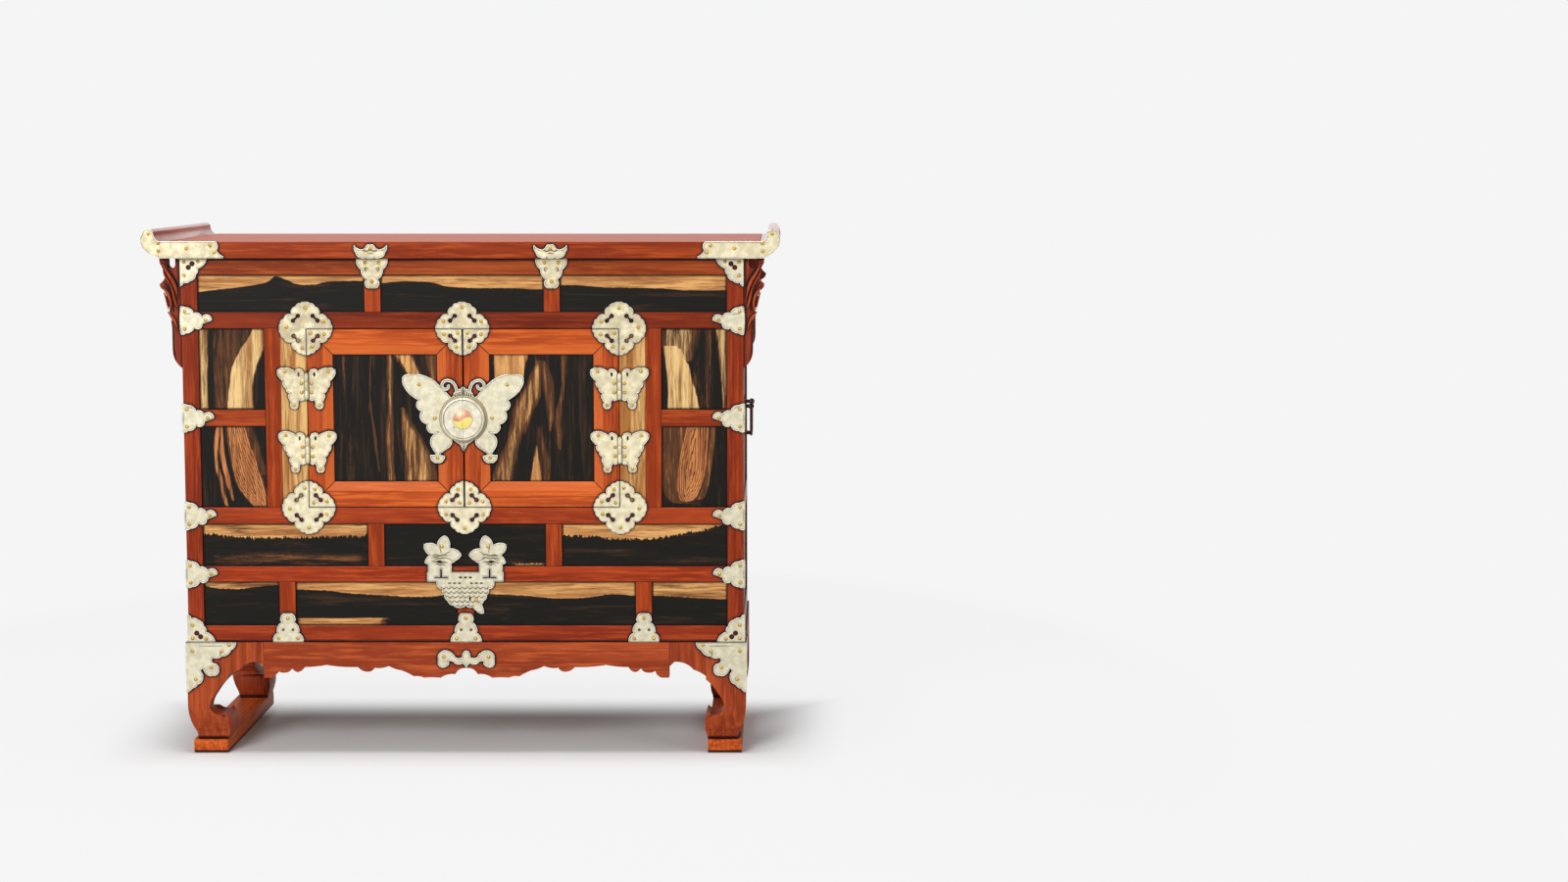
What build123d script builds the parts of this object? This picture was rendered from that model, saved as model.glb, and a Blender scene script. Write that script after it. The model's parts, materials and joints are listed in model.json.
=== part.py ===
"""A low Korean head-side chest with scrolled top ends, double doors, veneered panels and metal fittings.

Millimetres. +Z is up, the front faces -Y, and the origin is on the floor under the middle of the chest.
"""
from build123d import *
from math import asin, atan2, cos, degrees, dist, sin
import os

os.makedirs("parts", exist_ok=True)

# ---- driving dimensions: top -------------------------------------------------------------------
top_width = 997.0  # over the scrolled ends
top_depth = 430.0  # over the fittings on the front edge
top_thick = 26.0
scroll_reach = 31.0  # how far a scrolled end runs out past the flat board
scroll_rise = 19.0  # how far its head stands over the flat board

# ---- driving dimensions: carcass ---------------------------------------------------------------
carcass_width = 882.0
carcass_depth = 398.0
post_wide = 26.0
post_deep = 30.0
rail_deep = 22.0
divider_wide = 25.0
bottom_rail_high = 26.5
lower_row_high = 70.5
lower_rail_high = 24.5
middle_row_high = 68.0
sill_rail_high = 26.0
door_opening_high = 283.5
upper_rail_high = 25.5
upper_row_high = 58.5
top_rail_high = 26.0
upper_divider_spacing = 281.0
lower_divider_spacing = 282.5
strip_wide = 40.5  # pale strip between the door and its stile
bay_rail_high = 25.5
panel_thick = 6.0
panel_recess = 3.0  # panels lie this far behind the frame
floor_thick = 12.0

# ---- driving dimensions: doors -----------------------------------------------------------------
door_opening_wide = 492.0
door_thick = 20.0
door_frame_wide = 41.0
door_bevel_wide = 14.0
door_bevel_deep = 2.5
door_gap = 1.2  # clearance on each side of each door
door_panel_recess = 4.0
mitre_line = 0.2  # open line left at a glued mitre
catch_size = 16.0
catch_deep = 12.0
strike_thick = 1.2
catch_clear = 0.3
catch_inset = 36.0  # catch centre from the meeting edge of its door

# ---- driving dimensions: stand -----------------------------------------------------------------
stand_height = 180.0
stand_overlap = 3.0  # the stand stands out this far past the carcass on every side
runner_high = 22.0
runner_wide = 54.0
runner_inset = 7.0
runner_round = 6.0
leg_board = 28.0
spandrel_reach = 122.0
apron_high = 57.0
side_apron_high = 48.0

# ---- driving dimensions: brackets and fittings -------------------------------------------------
wing_reach = 33.0
wing_height = 173.0
wing_thick = 16.0
wing_slot_wide = 12.0
wing_slot_high = 10.0
plate_thick = 1.5
nail_radius = 2.5
nail_rise = 1.5
lobed_reach = 41.5
lobed_hole = 4.1
lobed_neck = 4.0
hinge_span = 46.0
hinge_high = 65.0
hinge_rows = 101.0  # between the two hinges of a door
knuckle_radius = 3.2
knuckle_high = 39.0
knuckle_gap = 0.3
pin_radius = 1.3
pin_fit = 0.15
butterfly_span = 96.0
butterfly_high = 139.0
butterfly_drop = 0.8  # centre of the drum below the middle of the doors
butterfly_gap = 0.25  # half of the line between its two halves
antenna_wide = 3.2
drum_radius = 34.0
drum_base_radius = 36.8
drum_base_thick = 1.2
drum_high = 11.0
drum_rim = 3.0
drum_sink = 1.2  # the face of the drum lies this far behind its rim
boss_radius = 16.0
boss_rise = 4.0
drum_split = 0.2  # half of the line between the two halves of the drum
corner_wide = 42.0
corner_high = 44.0
junction_reach = 48.0
junction_high = 44.0
base_plate_wide = 48.0
base_plate_high = 46.0
drop_wide = 49.0
drop_high = 46.0
cloud_wide = 51.0
cloud_high = 21.5
end_plate_length = 129.0
leg_plate_reach = 80.0
ornament_wide = 89.0
ornament_high = 29.5
basket_wide = 135.0
basket_high = 123.0
bail_span = 86.0
bail_drop = 50.0
bail_radius = 2.1
bail_fit = 0.4
bail_above_middle = 4.8  # bail axis over the middle of the doors
bail_bend = 5.5
bail_round = 18.0
bail_stand = 10.0  # bail axis from the side of the chest
bail_flare = 6.0  # how much narrower the grip is than the arms, each side
eye_radius = 4.6
eye_thick = 6.0
rose_radius = 11.0
stud_radius = 3.2

# ---- places worked out from them ---------------------------------------------------------------
stack = [bottom_rail_high, lower_row_high, lower_rail_high, middle_row_high, sill_rail_high,
         door_opening_high, upper_rail_high, upper_row_high, top_rail_high]
levels = [stand_height + sum(stack[:n]) for n in range(len(stack) + 1)]
(carcass_base, lower_row_base, lower_row_top, middle_row_base, middle_row_top,
 opening_base, opening_top, upper_row_base, upper_row_top, carcass_top) = levels
top_surface = carcass_top + top_thick
front = -carcass_depth / 2
back = carcass_depth / 2
side = carcass_width / 2
inner_side = side - post_wide
top_front = -top_depth / 2 + plate_thick + nail_rise
top_back = top_depth / 2
board_end = top_width / 2 - scroll_reach
door_edge = door_opening_wide / 2
stile_inner = door_edge + strip_wide
stile_outer = stile_inner + divider_wide
upper_divider = upper_divider_spacing / 2
lower_divider = lower_divider_spacing
opening_middle = (opening_base + opening_top) / 2
stand_front = front - stand_overlap
stand_back = back + stand_overlap
stand_side = side + stand_overlap
panel_front = front + panel_recess
hinge_axis_x = door_edge
hinge_axis_y = front - knuckle_radius - knuckle_gap / 3
bail_axis_x = side + bail_stand
bail_axis_z = opening_middle + bail_above_middle

frame_nails = []
door_nails = []


# ---- shared shapes -----------------------------------------------------------------------------
def block(x, y, z):
    """A squared timber between two values on each axis, added to the piece being made."""
    with Locations(((x[0] + x[1]) / 2, (y[0] + y[1]) / 2, (z[0] + z[1]) / 2)):
        Box(abs(x[1] - x[0]), abs(y[1] - y[0]), abs(z[1] - z[0]))


def lobed_line(points, wide, high):
    """Lines and arcs through points given as shares of a width and a height.

    The third number of a point is the rise of the stretch that starts there, over half its chord.
    A positive rise swells to the left of the way along the line.
    """
    real = [(x * wide, y * high, rise) for x, y, rise in points]
    for (x0, y0, rise), (x1, y1, _) in zip(real, real[1:]):
        if rise:
            middle = ((x0 + x1 - (y1 - y0) * rise) / 2, (y0 + y1 + (x1 - x0) * rise) / 2)
            ThreePointArc((x0, y0), middle, (x1, y1))
        else:
            Line((x0, y0), (x1, y1))


def face_plane(x, z, proud=0.0, y=front):
    """A plane on the front of the chest, seen from the front: local x runs right, local y runs up."""
    return Plane(origin=(x, y - proud, z), x_dir=(1, 0, 0), z_dir=(0, -1, 0))


def half_plate(plane, points, wide, high, thick=plate_thick):
    """A plate that is the same left and right: half its outline, clockwise from the top, mirrored."""
    with BuildSketch(plane) as shape:
        with BuildLine():
            lobed_line(points, wide / 2, high)
            mirror(about=Plane.YZ)
        make_face()
    extrude(shape.sketch, amount=thick)


def whole_plate(plane, points, wide, high, thick=plate_thick):
    """A plate from its whole outline, clockwise, closed back to its first point."""
    with BuildSketch(plane) as shape:
        with BuildLine():
            lobed_line(points + points[:1], wide, high)
        make_face()
    extrude(shape.sketch, amount=thick)


def cap_section(reach, rise):
    """Half of the section of a low round dome; the centre of its arc lies on its axis."""
    ball = (reach ** 2 + rise ** 2) / (2 * rise)
    halfway = asin(reach / ball) / 2
    Line((0, 0), (reach, 0))
    ThreePointArc((reach, 0), (ball * sin(halfway), rise - ball * (1 - cos(halfway))), (0, rise))
    Line((0, rise), (0, 0))


def save(piece, name):
    piece.part.label = name
    export_step(piece.part, f"parts/{name}.step")


# ---- top board and its scrolled ends -----------------------------------------------------------
with BuildPart() as top_board:
    block((-board_end, board_end), (top_front, top_back), (carcass_top, top_surface))
save(top_board, "top_board")


def scroll_outline():
    """The end of the top seen from the front, at the left: flat below, curled up into a round head."""
    head = top_thick + scroll_rise

    def spot(out, up):
        return (-out * scroll_reach, up * head)

    foot = spot(0.13, top_thick / head)
    Line((0, 0), (0, top_thick))
    Line((0, top_thick), foot)
    ThreePointArc(foot, spot(0.32, 0.72), spot(0.38, 0.91))
    ThreePointArc(spot(0.38, 0.91), spot(0.645, 1.0), spot(0.89, 0.87))
    ThreePointArc(spot(0.89, 0.87), spot(1.0, 0.62), spot(0.76, 0.27))
    ThreePointArc(spot(0.76, 0.27), spot(0.42, 0.09), (0, 0))


with BuildPart() as scroll_end_left:
    with BuildSketch(face_plane(-board_end, carcass_top, y=top_front)):
        with BuildLine():
            scroll_outline()
        make_face()
    extrude(amount=-(top_back - top_front))
save(scroll_end_left, "scroll_end_left")

with BuildPart() as scroll_end_right:
    mirror(scroll_end_left.part, about=Plane.YZ)
save(scroll_end_right, "scroll_end_right")

# ---- posts and front rails ---------------------------------------------------------------------
with BuildPart() as front_posts:
    block((-side, -inner_side), (front, front + post_deep), (carcass_base, carcass_top))
    mirror(about=Plane.YZ)
save(front_posts, "front_posts")

with BuildPart() as back_posts:
    block((-side, -inner_side), (back - post_deep, back), (carcass_base, carcass_top))
    mirror(about=Plane.YZ)
save(back_posts, "back_posts")

front_rails = {"bottom_rail": (carcass_base, lower_row_base), "lower_rail": (lower_row_top, middle_row_base),
               "sill_rail": (middle_row_top, opening_base), "upper_rail": (opening_top, upper_row_base),
               "top_rail": (upper_row_top, carcass_top)}
for rail_name, rail_levels in front_rails.items():
    with BuildPart() as rail:
        block((-inner_side, inner_side), (front, front + rail_deep), rail_levels)
    save(rail, rail_name)

# ---- uprights between the rails ----------------------------------------------------------------
upper_centres = [-upper_divider, upper_divider]
lower_centres = [-lower_divider, 0, lower_divider]
half_divider = divider_wide / 2

with BuildPart() as front_uprights:
    for centres, row in ((upper_centres, (upper_row_base, upper_row_top)),
                         (upper_centres, (middle_row_base, middle_row_top)),
                         (lower_centres, (lower_row_base, lower_row_top))):
        for x in centres:
            block((x - half_divider, x + half_divider), (front, front + rail_deep), row)
    for x in (-stile_outer, stile_inner):
        block((x, x + divider_wide), (front, front + rail_deep), (opening_base, opening_top))
save(front_uprights, "front_uprights")

bay_rail = (opening_middle + 0.5 - bay_rail_high / 2, opening_middle + 0.5 + bay_rail_high / 2)
with BuildPart() as bay_rails:
    block((-inner_side, -stile_outer), (front, front + rail_deep), bay_rail)
    mirror(about=Plane.YZ)
save(bay_rails, "bay_rails")

with BuildPart() as pale_strips:
    block((-stile_inner, -door_edge), (front, front + rail_deep), (opening_base, opening_top))
    mirror(about=Plane.YZ)
save(pale_strips, "pale_strips")


# ---- veneered panels of the front --------------------------------------------------------------
def row_panels(centres, row):
    """Panels that fill a row between the posts and the dividers at the given places."""
    edges = [-inner_side] + [x + s for x in centres for s in (-half_divider, half_divider)] + [inner_side]
    for start, end in zip(edges[::2], edges[1::2]):
        block((start, end), (panel_front, panel_front + panel_thick), row)


with BuildPart() as upper_row_panels:
    row_panels(upper_centres, (upper_row_base, upper_row_top))
save(upper_row_panels, "upper_row_panels")

with BuildPart() as middle_row_panels:
    row_panels(upper_centres, (middle_row_base, middle_row_top))
save(middle_row_panels, "middle_row_panels")

with BuildPart() as lower_row_panels:
    row_panels(lower_centres, (lower_row_base, lower_row_top))
save(lower_row_panels, "lower_row_panels")

with BuildPart() as side_bay_panels:
    for row in ((opening_base, bay_rail[0]), (bay_rail[1], opening_top)):
        block((-inner_side, -stile_outer), (panel_front, panel_front + panel_thick), row)
    mirror(about=Plane.YZ)
save(side_bay_panels, "side_bay_panels")

# ---- sides, back and floor ---------------------------------------------------------------------
between_posts = (front + post_deep, back - post_deep)
side_levels = [(carcass_base, lower_row_base), (middle_row_top, opening_base), (upper_row_top, carcass_top)]
side_rows = [(lower_row_base, middle_row_top), (opening_base, upper_row_top)]

with BuildPart() as side_rails:
    for level in side_levels:
        block((-side, -side + rail_deep), between_posts, level)
    mirror(about=Plane.YZ)
save(side_rails, "side_rails")

with BuildPart() as side_panels:
    for row in side_rows:
        block((-side + panel_recess, -side + panel_recess + panel_thick), between_posts, row)
    mirror(about=Plane.YZ)
save(side_panels, "side_panels")

with BuildPart() as back_rails:
    for level in side_levels:
        block((-inner_side, inner_side), (back - rail_deep, back), level)
    for row in side_rows:
        block((-half_divider, half_divider), (back - rail_deep, back), row)
save(back_rails, "back_rails")

with BuildPart() as back_panels:
    for row in side_rows:
        for reach in ((-inner_side, -half_divider), (half_divider, inner_side)):
            block(reach, (back - panel_recess - panel_thick, back - panel_recess), row)
save(back_panels, "back_panels")

with BuildPart() as floor_board:
    block((-side + rail_deep, side - rail_deep), (front + post_deep, back - post_deep),
          (carcass_base, carcass_base + floor_thick))
save(floor_board, "floor_board")

# ---- stand -------------------------------------------------------------------------------------
leg_high = stand_height - runner_high
# shares of the spandrel reach and of the leg height, from the outer top corner
spandrel_outline = [(0, 1.0, 0), (1.0, 1.0, 0), (1.0, 0.75, 0), (0.93, 0.80, -0.25), (0.68, 0.72, -0.25),
                    (0.34, 0.45, 0), (0, 0.45, 0)]
narrow_leg = [(0, 1.0, 0), (0.52, 1.0, 0), (0.52, 0.62, -0.1), (0.34, 0.45, -0.15), (0.28, 0.33, -0.25),
              (0.40, 0.255, -0.35), (0.50, 0.29, 0.2), (0.505, 0.02, 0), (0.505, 0, 0),
              (0.115, 0, 0), (0.09, 0.08, 0.12), (0, 0.36, 0)]
leg_from_front = Plane(origin=(-stand_side, stand_front, runner_high), x_dir=(1, 0, 0), z_dir=(0, -1, 0))
leg_from_side = Plane(origin=(-stand_side, stand_front, runner_high), x_dir=(0, 1, 0), z_dir=(1, 0, 0))


def leg_face(plane, points, thick, mode=Mode.ADD):
    with BuildSketch(plane) as shape:
        with BuildLine():
            lobed_line(points + points[:1], spandrel_reach, leg_high)
        make_face()
    extrude(shape.sketch, amount=thick, mode=mode)


with BuildPart() as front_legs:
    leg_face(leg_from_front, narrow_leg, -spandrel_reach)
    leg_face(leg_from_side, narrow_leg, spandrel_reach, Mode.INTERSECT)
    leg_face(leg_from_front, spandrel_outline, -leg_board)
    leg_face(leg_from_side, spandrel_outline, leg_board)
    mirror(about=Plane.YZ)
save(front_legs, "front_legs")

with BuildPart() as back_legs:
    mirror(front_legs.part, about=Plane.XZ)
save(back_legs, "back_legs")

apron_half = stand_side - spandrel_reach
# right half of the lower edge of the apron, from the middle out: shares of half the span and the height
apron_edge = [(0, 0.27, 0.35), (0.055, 0.10, 0.2), (0.127, 0, 0.05), (0.209, 0, 0.15), (0.26, 0.04, 0.05),
              (0.321, 0.21, -0.10), (0.383, 0.33, -0.15), (0.454, 0.28, -0.3), (0.484, 0.17, -0.25),
              (0.535, 0.30, -0.05), (0.69, 0.36, -0.05), (0.80, 0.30, -0.3), (0.835, 0.16, -0.2),
              (0.861, 0.27, -0.3), (0.892, 0.145, -0.2), (0.932, 0.19, -0.3), (0.965, 0.0, 0), (1.0, 0.0, 0)]


def apron(plane, half_length, high, edge):
    """An apron board, straight on top and shaped below, hung under the given plane."""
    with BuildSketch(plane) as shape:
        with BuildLine():
            Line((0, high), (half_length, high))
            Line((half_length, high), (half_length, 0))
            lobed_line([(x, y, -rise) for (x, y, _), rise in
                        zip(edge[::-1], [r for _, _, r in edge[:-1]][::-1] + [0])], half_length, high)
            mirror(about=Plane.YZ)
        make_face()
    extrude(shape.sketch, amount=-(leg_board - stand_overlap))


with BuildPart() as front_apron:
    apron(face_plane(0, stand_height - apron_high, y=stand_front), apron_half, apron_high, apron_edge)
save(front_apron, "front_apron")

with BuildPart() as back_apron:
    mirror(front_apron.part, about=Plane.XZ)
save(back_apron, "back_apron")

side_apron_half = stand_back - spandrel_reach
side_edge = [(0, 0.30, 0.30), (0.14, 0.04, 0.15), (0.36, 0.0, 0.1), (0.56, 0.24, -0.1), (0.80, 0.34, -0.3),
             (0.88, 0.16, -0.2), (0.94, 0.05, 0), (1.0, 0.0, 0)]
with BuildPart() as side_aprons:
    apron(Plane(origin=(-stand_side, 0, stand_height - side_apron_high), x_dir=(0, -1, 0), z_dir=(-1, 0, 0)),
          side_apron_half, side_apron_high, side_edge)
    mirror(about=Plane.YZ)
save(side_aprons, "side_aprons")

runner_middle = stand_side - runner_inset - runner_wide / 2
with BuildPart() as runners:
    with BuildSketch():
        with Locations((-runner_middle, 0)):
            Rectangle(runner_wide, stand_back - stand_front - 2 * runner_inset)
    extrude(amount=runner_high)
    fillet(runners.edges().filter_by(Axis.X), runner_round)
    mirror(about=Plane.YZ)
save(runners, "runners")

# ---- carved wings under the overhang -----------------------------------------------------------
# from the post out and down: shares of the reach and of the height, the outer edge cut into flames
wing_outline = [(0, 0, 0), (1.0, 0, 0.0), (0.97, -0.05, -0.1), (0.80, -0.12, -0.1), (0.73, -0.175, -0.15),
                (1.0, -0.235, 0.3), (0.80, -0.29, -0.2), (0.68, -0.345, 0.2), (0.70, -0.385, 0.2),
                (0.57, -0.45, 0.1), (0.48, -0.51, -0.05), (0.45, -0.60, 0), (0.45, -0.84, 0.25),
                (0, -1.0, 0)]
with BuildPart() as wing_brackets:
    wing_plane = face_plane(side, carcass_top, y=front + wing_thick / 8)
    whole_plate(wing_plane, wing_outline, wing_reach, wing_height, -wing_thick)
    with BuildSketch(wing_plane):
        with Locations((wing_reach * 0.42, -wing_slot_high / 2)):
            Rectangle(wing_slot_wide, wing_slot_high)
        with Locations((wing_reach * 0.42, -wing_slot_high)):
            Circle(wing_slot_wide / 2)
    extrude(amount=-wing_thick, mode=Mode.SUBTRACT)
    mirror(about=Plane.YZ)
    mirror(about=Plane.XZ)
save(wing_brackets, "wing_brackets")


# ---- doors -------------------------------------------------------------------------------------
door_left = -door_edge + door_gap
door_right = -door_gap
door_base = opening_base + door_gap
door_top = opening_top - door_gap
door_wide = door_right - door_left
door_high = door_top - door_base
door_centre = ((door_left + door_right) / 2, (door_base + door_top) / 2)
frame_wide = door_frame_wide - door_gap

with BuildPart() as left_door_frame:
    door_plane = face_plane(door_centre[0], door_centre[1])
    with BuildSketch(door_plane):
        Rectangle(door_wide, door_high)
        Rectangle(door_wide - 2 * frame_wide, door_high - 2 * frame_wide, mode=Mode.SUBTRACT)
    extrude(amount=-door_thick)
    door_face = left_door_frame.faces().sort_by(Axis.Y)[0]
    chamfer(door_face.inner_wires()[0].edges(), door_bevel_wide, door_bevel_deep, reference=door_face)
    for way_x in (-1, 1):
        for way_z in (-1, 1):
            corner = (way_x * (door_wide - frame_wide) / 2, way_z * (door_high - frame_wide) / 2)
            with BuildSketch(door_plane):
                with Locations(Location(corner, 45 * way_x * way_z)):
                    Rectangle(2 * frame_wide, mitre_line)
            extrude(amount=-door_thick, mode=Mode.SUBTRACT)
save(left_door_frame, "left_door_frame")

with BuildPart() as left_door_panel:
    block((door_left + frame_wide, door_right - frame_wide),
          (front + door_panel_recess, front + door_panel_recess + panel_thick),
          (door_base + frame_wide, door_top - frame_wide))
save(left_door_panel, "left_door_panel")

# catches: a sprung block behind the upper rail, a strike plate let onto the back of each door
catch_x = -(door_gap + catch_inset)
catch_reach = (catch_x - catch_size / 2, catch_x + catch_size / 2)
door_back = front + door_thick
with BuildPart() as door_catches:
    catch_front = door_back + strike_thick + catch_clear
    catch_back = catch_front + catch_deep
    block(catch_reach, (catch_front, catch_back), (door_top - catch_size, opening_top))
    block(catch_reach, (front + rail_deep, catch_back), (opening_top, upper_row_base))
    mirror(about=Plane.YZ)
save(door_catches, "door_catches")

# ---- lobed corner plates, cut along the door edges ---------------------------------------------
# one quarter of the plate, clockwise from its top to its right-hand tip
lobed_quarter = [(0, 1.0, 0.30), (0.18, 0.94, 0.45), (0.36, 0.82, 0.55), (0.50, 0.50, 0.55),
                 (0.82, 0.36, 0.45), (0.94, 0.18, 0.30), (1.0, 0, 0), (0, 0, 0), (0, 1.0, 0)]
# two round piercings joined by a neck
quarter_holes = [(0.28, 0.47), (0.46, 0.29)]
door_plate_nails = [(0.24, 0.70), (0.70, 0.23), (0.18, 0.18)]
corner_plate_nails = [(0, 0.77), (0.72, 0.04), (0.14, -0.75), (-0.68, 0.26)]
middle_plate_nails = [(0, 0.80), (0.71, 0.27), (-0.71, 0.27)]


def lobed_nails(x, z, way_x, way_z, spots):
    """Nails at shares of a lobed plate's reach, turned the way it goes."""
    return [(x + px * way_x * lobed_reach, front - plate_thick, z + pz * way_z * lobed_reach)
            for px, pz in spots]


def lobed_quadrant(x, z, way_x, way_z, trim_x=0.0, trim_z=0.0):
    """One quarter of a lobed plate about (x, z), reaching the given way, trimmed at its cut edges."""
    plane = face_plane(x, z)
    turn = way_x * way_z
    with BuildSketch(plane) as quarter:
        with BuildLine():
            lobed_line([(px * way_x, pz * way_z, rise * turn) for px, pz, rise in lobed_quarter],
                       lobed_reach, lobed_reach)
        make_face()
        with Locations(*[(px * way_x * lobed_reach, pz * way_z * lobed_reach) for px, pz in quarter_holes]):
            Circle(lobed_hole, mode=Mode.SUBTRACT)
        (x0, z0), (x1, z1) = quarter_holes
        with Locations(((x0 + x1) / 2 * way_x * lobed_reach, (z0 + z1) / 2 * way_z * lobed_reach)):
            Rectangle(dist(*quarter_holes) * lobed_reach, lobed_neck, mode=Mode.SUBTRACT,
                      rotation=turn * degrees(atan2(z1 - z0, x1 - x0)))
        if trim_x:
            with Locations((way_x * trim_x / 2, 0)):
                Rectangle(trim_x, 4 * lobed_reach, mode=Mode.SUBTRACT)
        if trim_z:
            with Locations((0, way_z * trim_z / 2)):
                Rectangle(4 * lobed_reach, trim_z, mode=Mode.SUBTRACT)
    extrude(quarter.sketch, amount=plate_thick)


with BuildPart() as frame_lobed_plates:
    for z, up in ((opening_top, 1), (opening_base, -1)):
        for x, out in ((-door_edge, -1), (door_edge, 1)):
            for way_x, way_z in ((out, up), (-out, up), (out, -up)):
                lobed_quadrant(x, z, way_x, way_z)
            frame_nails += lobed_nails(x, z, out, up, corner_plate_nails)
        for way_x in (-1, 1):
            lobed_quadrant(0, z, way_x, up)
        frame_nails += lobed_nails(0, z, 1, up, middle_plate_nails)
save(frame_lobed_plates, "frame_lobed_plates")

with BuildPart() as left_door_plates:
    for z, inward in ((opening_top, -1), (opening_base, 1)):
        for x, way_x in ((-door_edge, 1), (0, -1)):
            lobed_quadrant(x, z, way_x, inward, door_gap, door_gap)
            door_nails += lobed_nails(x, z, way_x, inward, door_plate_nails)
    block(catch_reach, (door_back, door_back + strike_thick),
          (door_top - catch_size, door_top - 2 * door_gap))
save(left_door_plates, "left_door_plates")

# ---- butterfly hinges --------------------------------------------------------------------------
# one wing, clockwise from beside the knuckle: shares of the span and of the height, about the knuckle
wing_points = [(0.08, 0.33, 0.3), (0.22, 0.41, 0.5), (0.38, 0.35, 0.15), (0.74, 0.455, 0.2),
               (1.0, 0.38, 0.2), (0.91, 0.21, 0.15), (0.78, 0.13, 0.45), (0.70, -0.04, 0.5),
               (0.54, -0.16, 0.55), (0.58, -0.31, 0.2), (0.53, -0.38, 0.9), (0.30, -0.38, 0.3),
               (0.28, -0.30, 0.4), (0.08, -0.33, 0)]
tail_lobe = (0.43, -0.455, 0.13)
wing_eye = (0.27, 0.29)
wing_nails = [(0.74, 0.36), (0.17, 0.07), (0.17, -0.15), (0.43, -0.46)]
knuckle_part = knuckle_high / 3


def hinge_wing(axis_x, z, way, own_parts, nails):
    """A butterfly wing with its knuckles, on one side of the hinge axis."""
    plane = face_plane(axis_x, z)
    with BuildSketch(plane) as wing:
        with BuildLine():
            lobed_line([(x * way, y, rise * way) for x, y, rise in wing_points + wing_points[:1]],
                       hinge_span, hinge_high)
        make_face()
        with Locations((tail_lobe[0] * way * hinge_span, tail_lobe[1] * hinge_high)):
            Circle(tail_lobe[2] * hinge_span)
        with Locations((wing_eye[0] * way * hinge_span, wing_eye[1] * hinge_high)):
            Ellipse(0.04 * hinge_span, 0.055 * hinge_high, mode=Mode.SUBTRACT)
    extrude(wing.sketch, amount=plate_thick)
    for index in own_parts:
        base = z + knuckle_high / 2 - (index + 1) * knuckle_part + knuckle_gap / 2
        with BuildSketch(Plane.XY.offset(base)) as knuckle:
            with Locations((axis_x, hinge_axis_y)):
                Circle(knuckle_radius)
            with Locations((axis_x + way * 0.55 * knuckle_radius, front - plate_thick / 2)):
                Rectangle(1.5 * knuckle_radius, plate_thick)
            with Locations((axis_x, hinge_axis_y)):
                Circle(pin_radius + pin_fit, mode=Mode.SUBTRACT)
        extrude(knuckle.sketch, amount=knuckle_part - knuckle_gap)
    nails.extend((axis_x + x * way * hinge_span, front - plate_thick, z + y * hinge_high)
                 for x, y in wing_nails)


hinge_heights = (opening_middle - hinge_rows / 2, opening_middle + hinge_rows / 2)
with BuildPart() as frame_hinge_wings:
    for z in hinge_heights:
        hinge_wing(-hinge_axis_x, z, -1, (0, 2), frame_nails)
        hinge_wing(hinge_axis_x, z, 1, (0, 2), frame_nails)
save(frame_hinge_wings, "frame_hinge_wings")

with BuildPart() as left_hinge_wings:
    for z in hinge_heights:
        hinge_wing(-hinge_axis_x, z, 1, (1,), door_nails)
save(left_hinge_wings, "left_hinge_wings")

with BuildPart() as hinge_pins:
    for z in hinge_heights:
        for x in (-hinge_axis_x, hinge_axis_x):
            with BuildSketch(Plane.XY.offset(z - knuckle_high / 2)):
                with Locations((x, hinge_axis_y)):
                    Circle(pin_radius)
            extrude(amount=knuckle_high)
            for end in (z - knuckle_high / 2 - 1.5, z + knuckle_high / 2):
                with BuildSketch(Plane.XY.offset(end)):
                    with Locations((x, hinge_axis_y)):
                        Circle(knuckle_radius * 0.8)
                extrude(amount=1.5)
save(hinge_pins, "hinge_pins")

# ---- the large butterfly, a half on each door --------------------------------------------------
drum_z = opening_middle - butterfly_drop
# right half, clockwise from the top of the crown: fore wing, three lobes, hind wing, tail and body tip
butterfly_half = [(0.006, 0.362, 0.1), (0.042, 0.329, 0), (0.058, 0.335, 0.35), (0.104, 0.306, 0),
                  (0.119, 0.308, 0.35), (0.15, 0.266, 0), (0.193, 0.237, 0), (0.225, 0.252, 0.05),
                  (0.491, 0.439, 0.12), (0.768, 0.506, 0.05), (0.928, 0.498, 0.38), (0.996, 0.439, 0.12),
                  (0.952, 0.355, 0.1), (0.848, 0.268, 0.05), (0.723, 0.213, 0.7), (0.678, 0.091, 0.62),
                  (0.585, -0.058, 0.72), (0.464, -0.159, 0), (0.414, -0.149, 0.1), (0.496, -0.19, 0.25),
                  (0.542, -0.263, 0.15), (0.51, -0.337, 0.05), (0.446, -0.399, -0.3),
                  (0.546, -0.414, 1.08), (0.316, -0.423, -0.3), (0.402, -0.399, 0),
                  (0.235, -0.319, 0.25), (0.196, -0.245, 0.15), (0.214, -0.216, 0),
                  (0.143, -0.248, 0.05), (0.08, -0.278, -0.2), (0.031, -0.324, 0), (0.002, -0.373, 0)]
antenna_line = [(0.115, 0.265), (0.112, 0.335), (0.145, 0.395), (0.215, 0.432), (0.282, 0.434),
                (0.333, 0.408), (0.343, 0.365), (0.300, 0.336), (0.246, 0.350), (0.245, 0.383)]
butterfly_nails = [(0.72, 0.39), (0.47, 0.006), (0.43, -0.447)]

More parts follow.
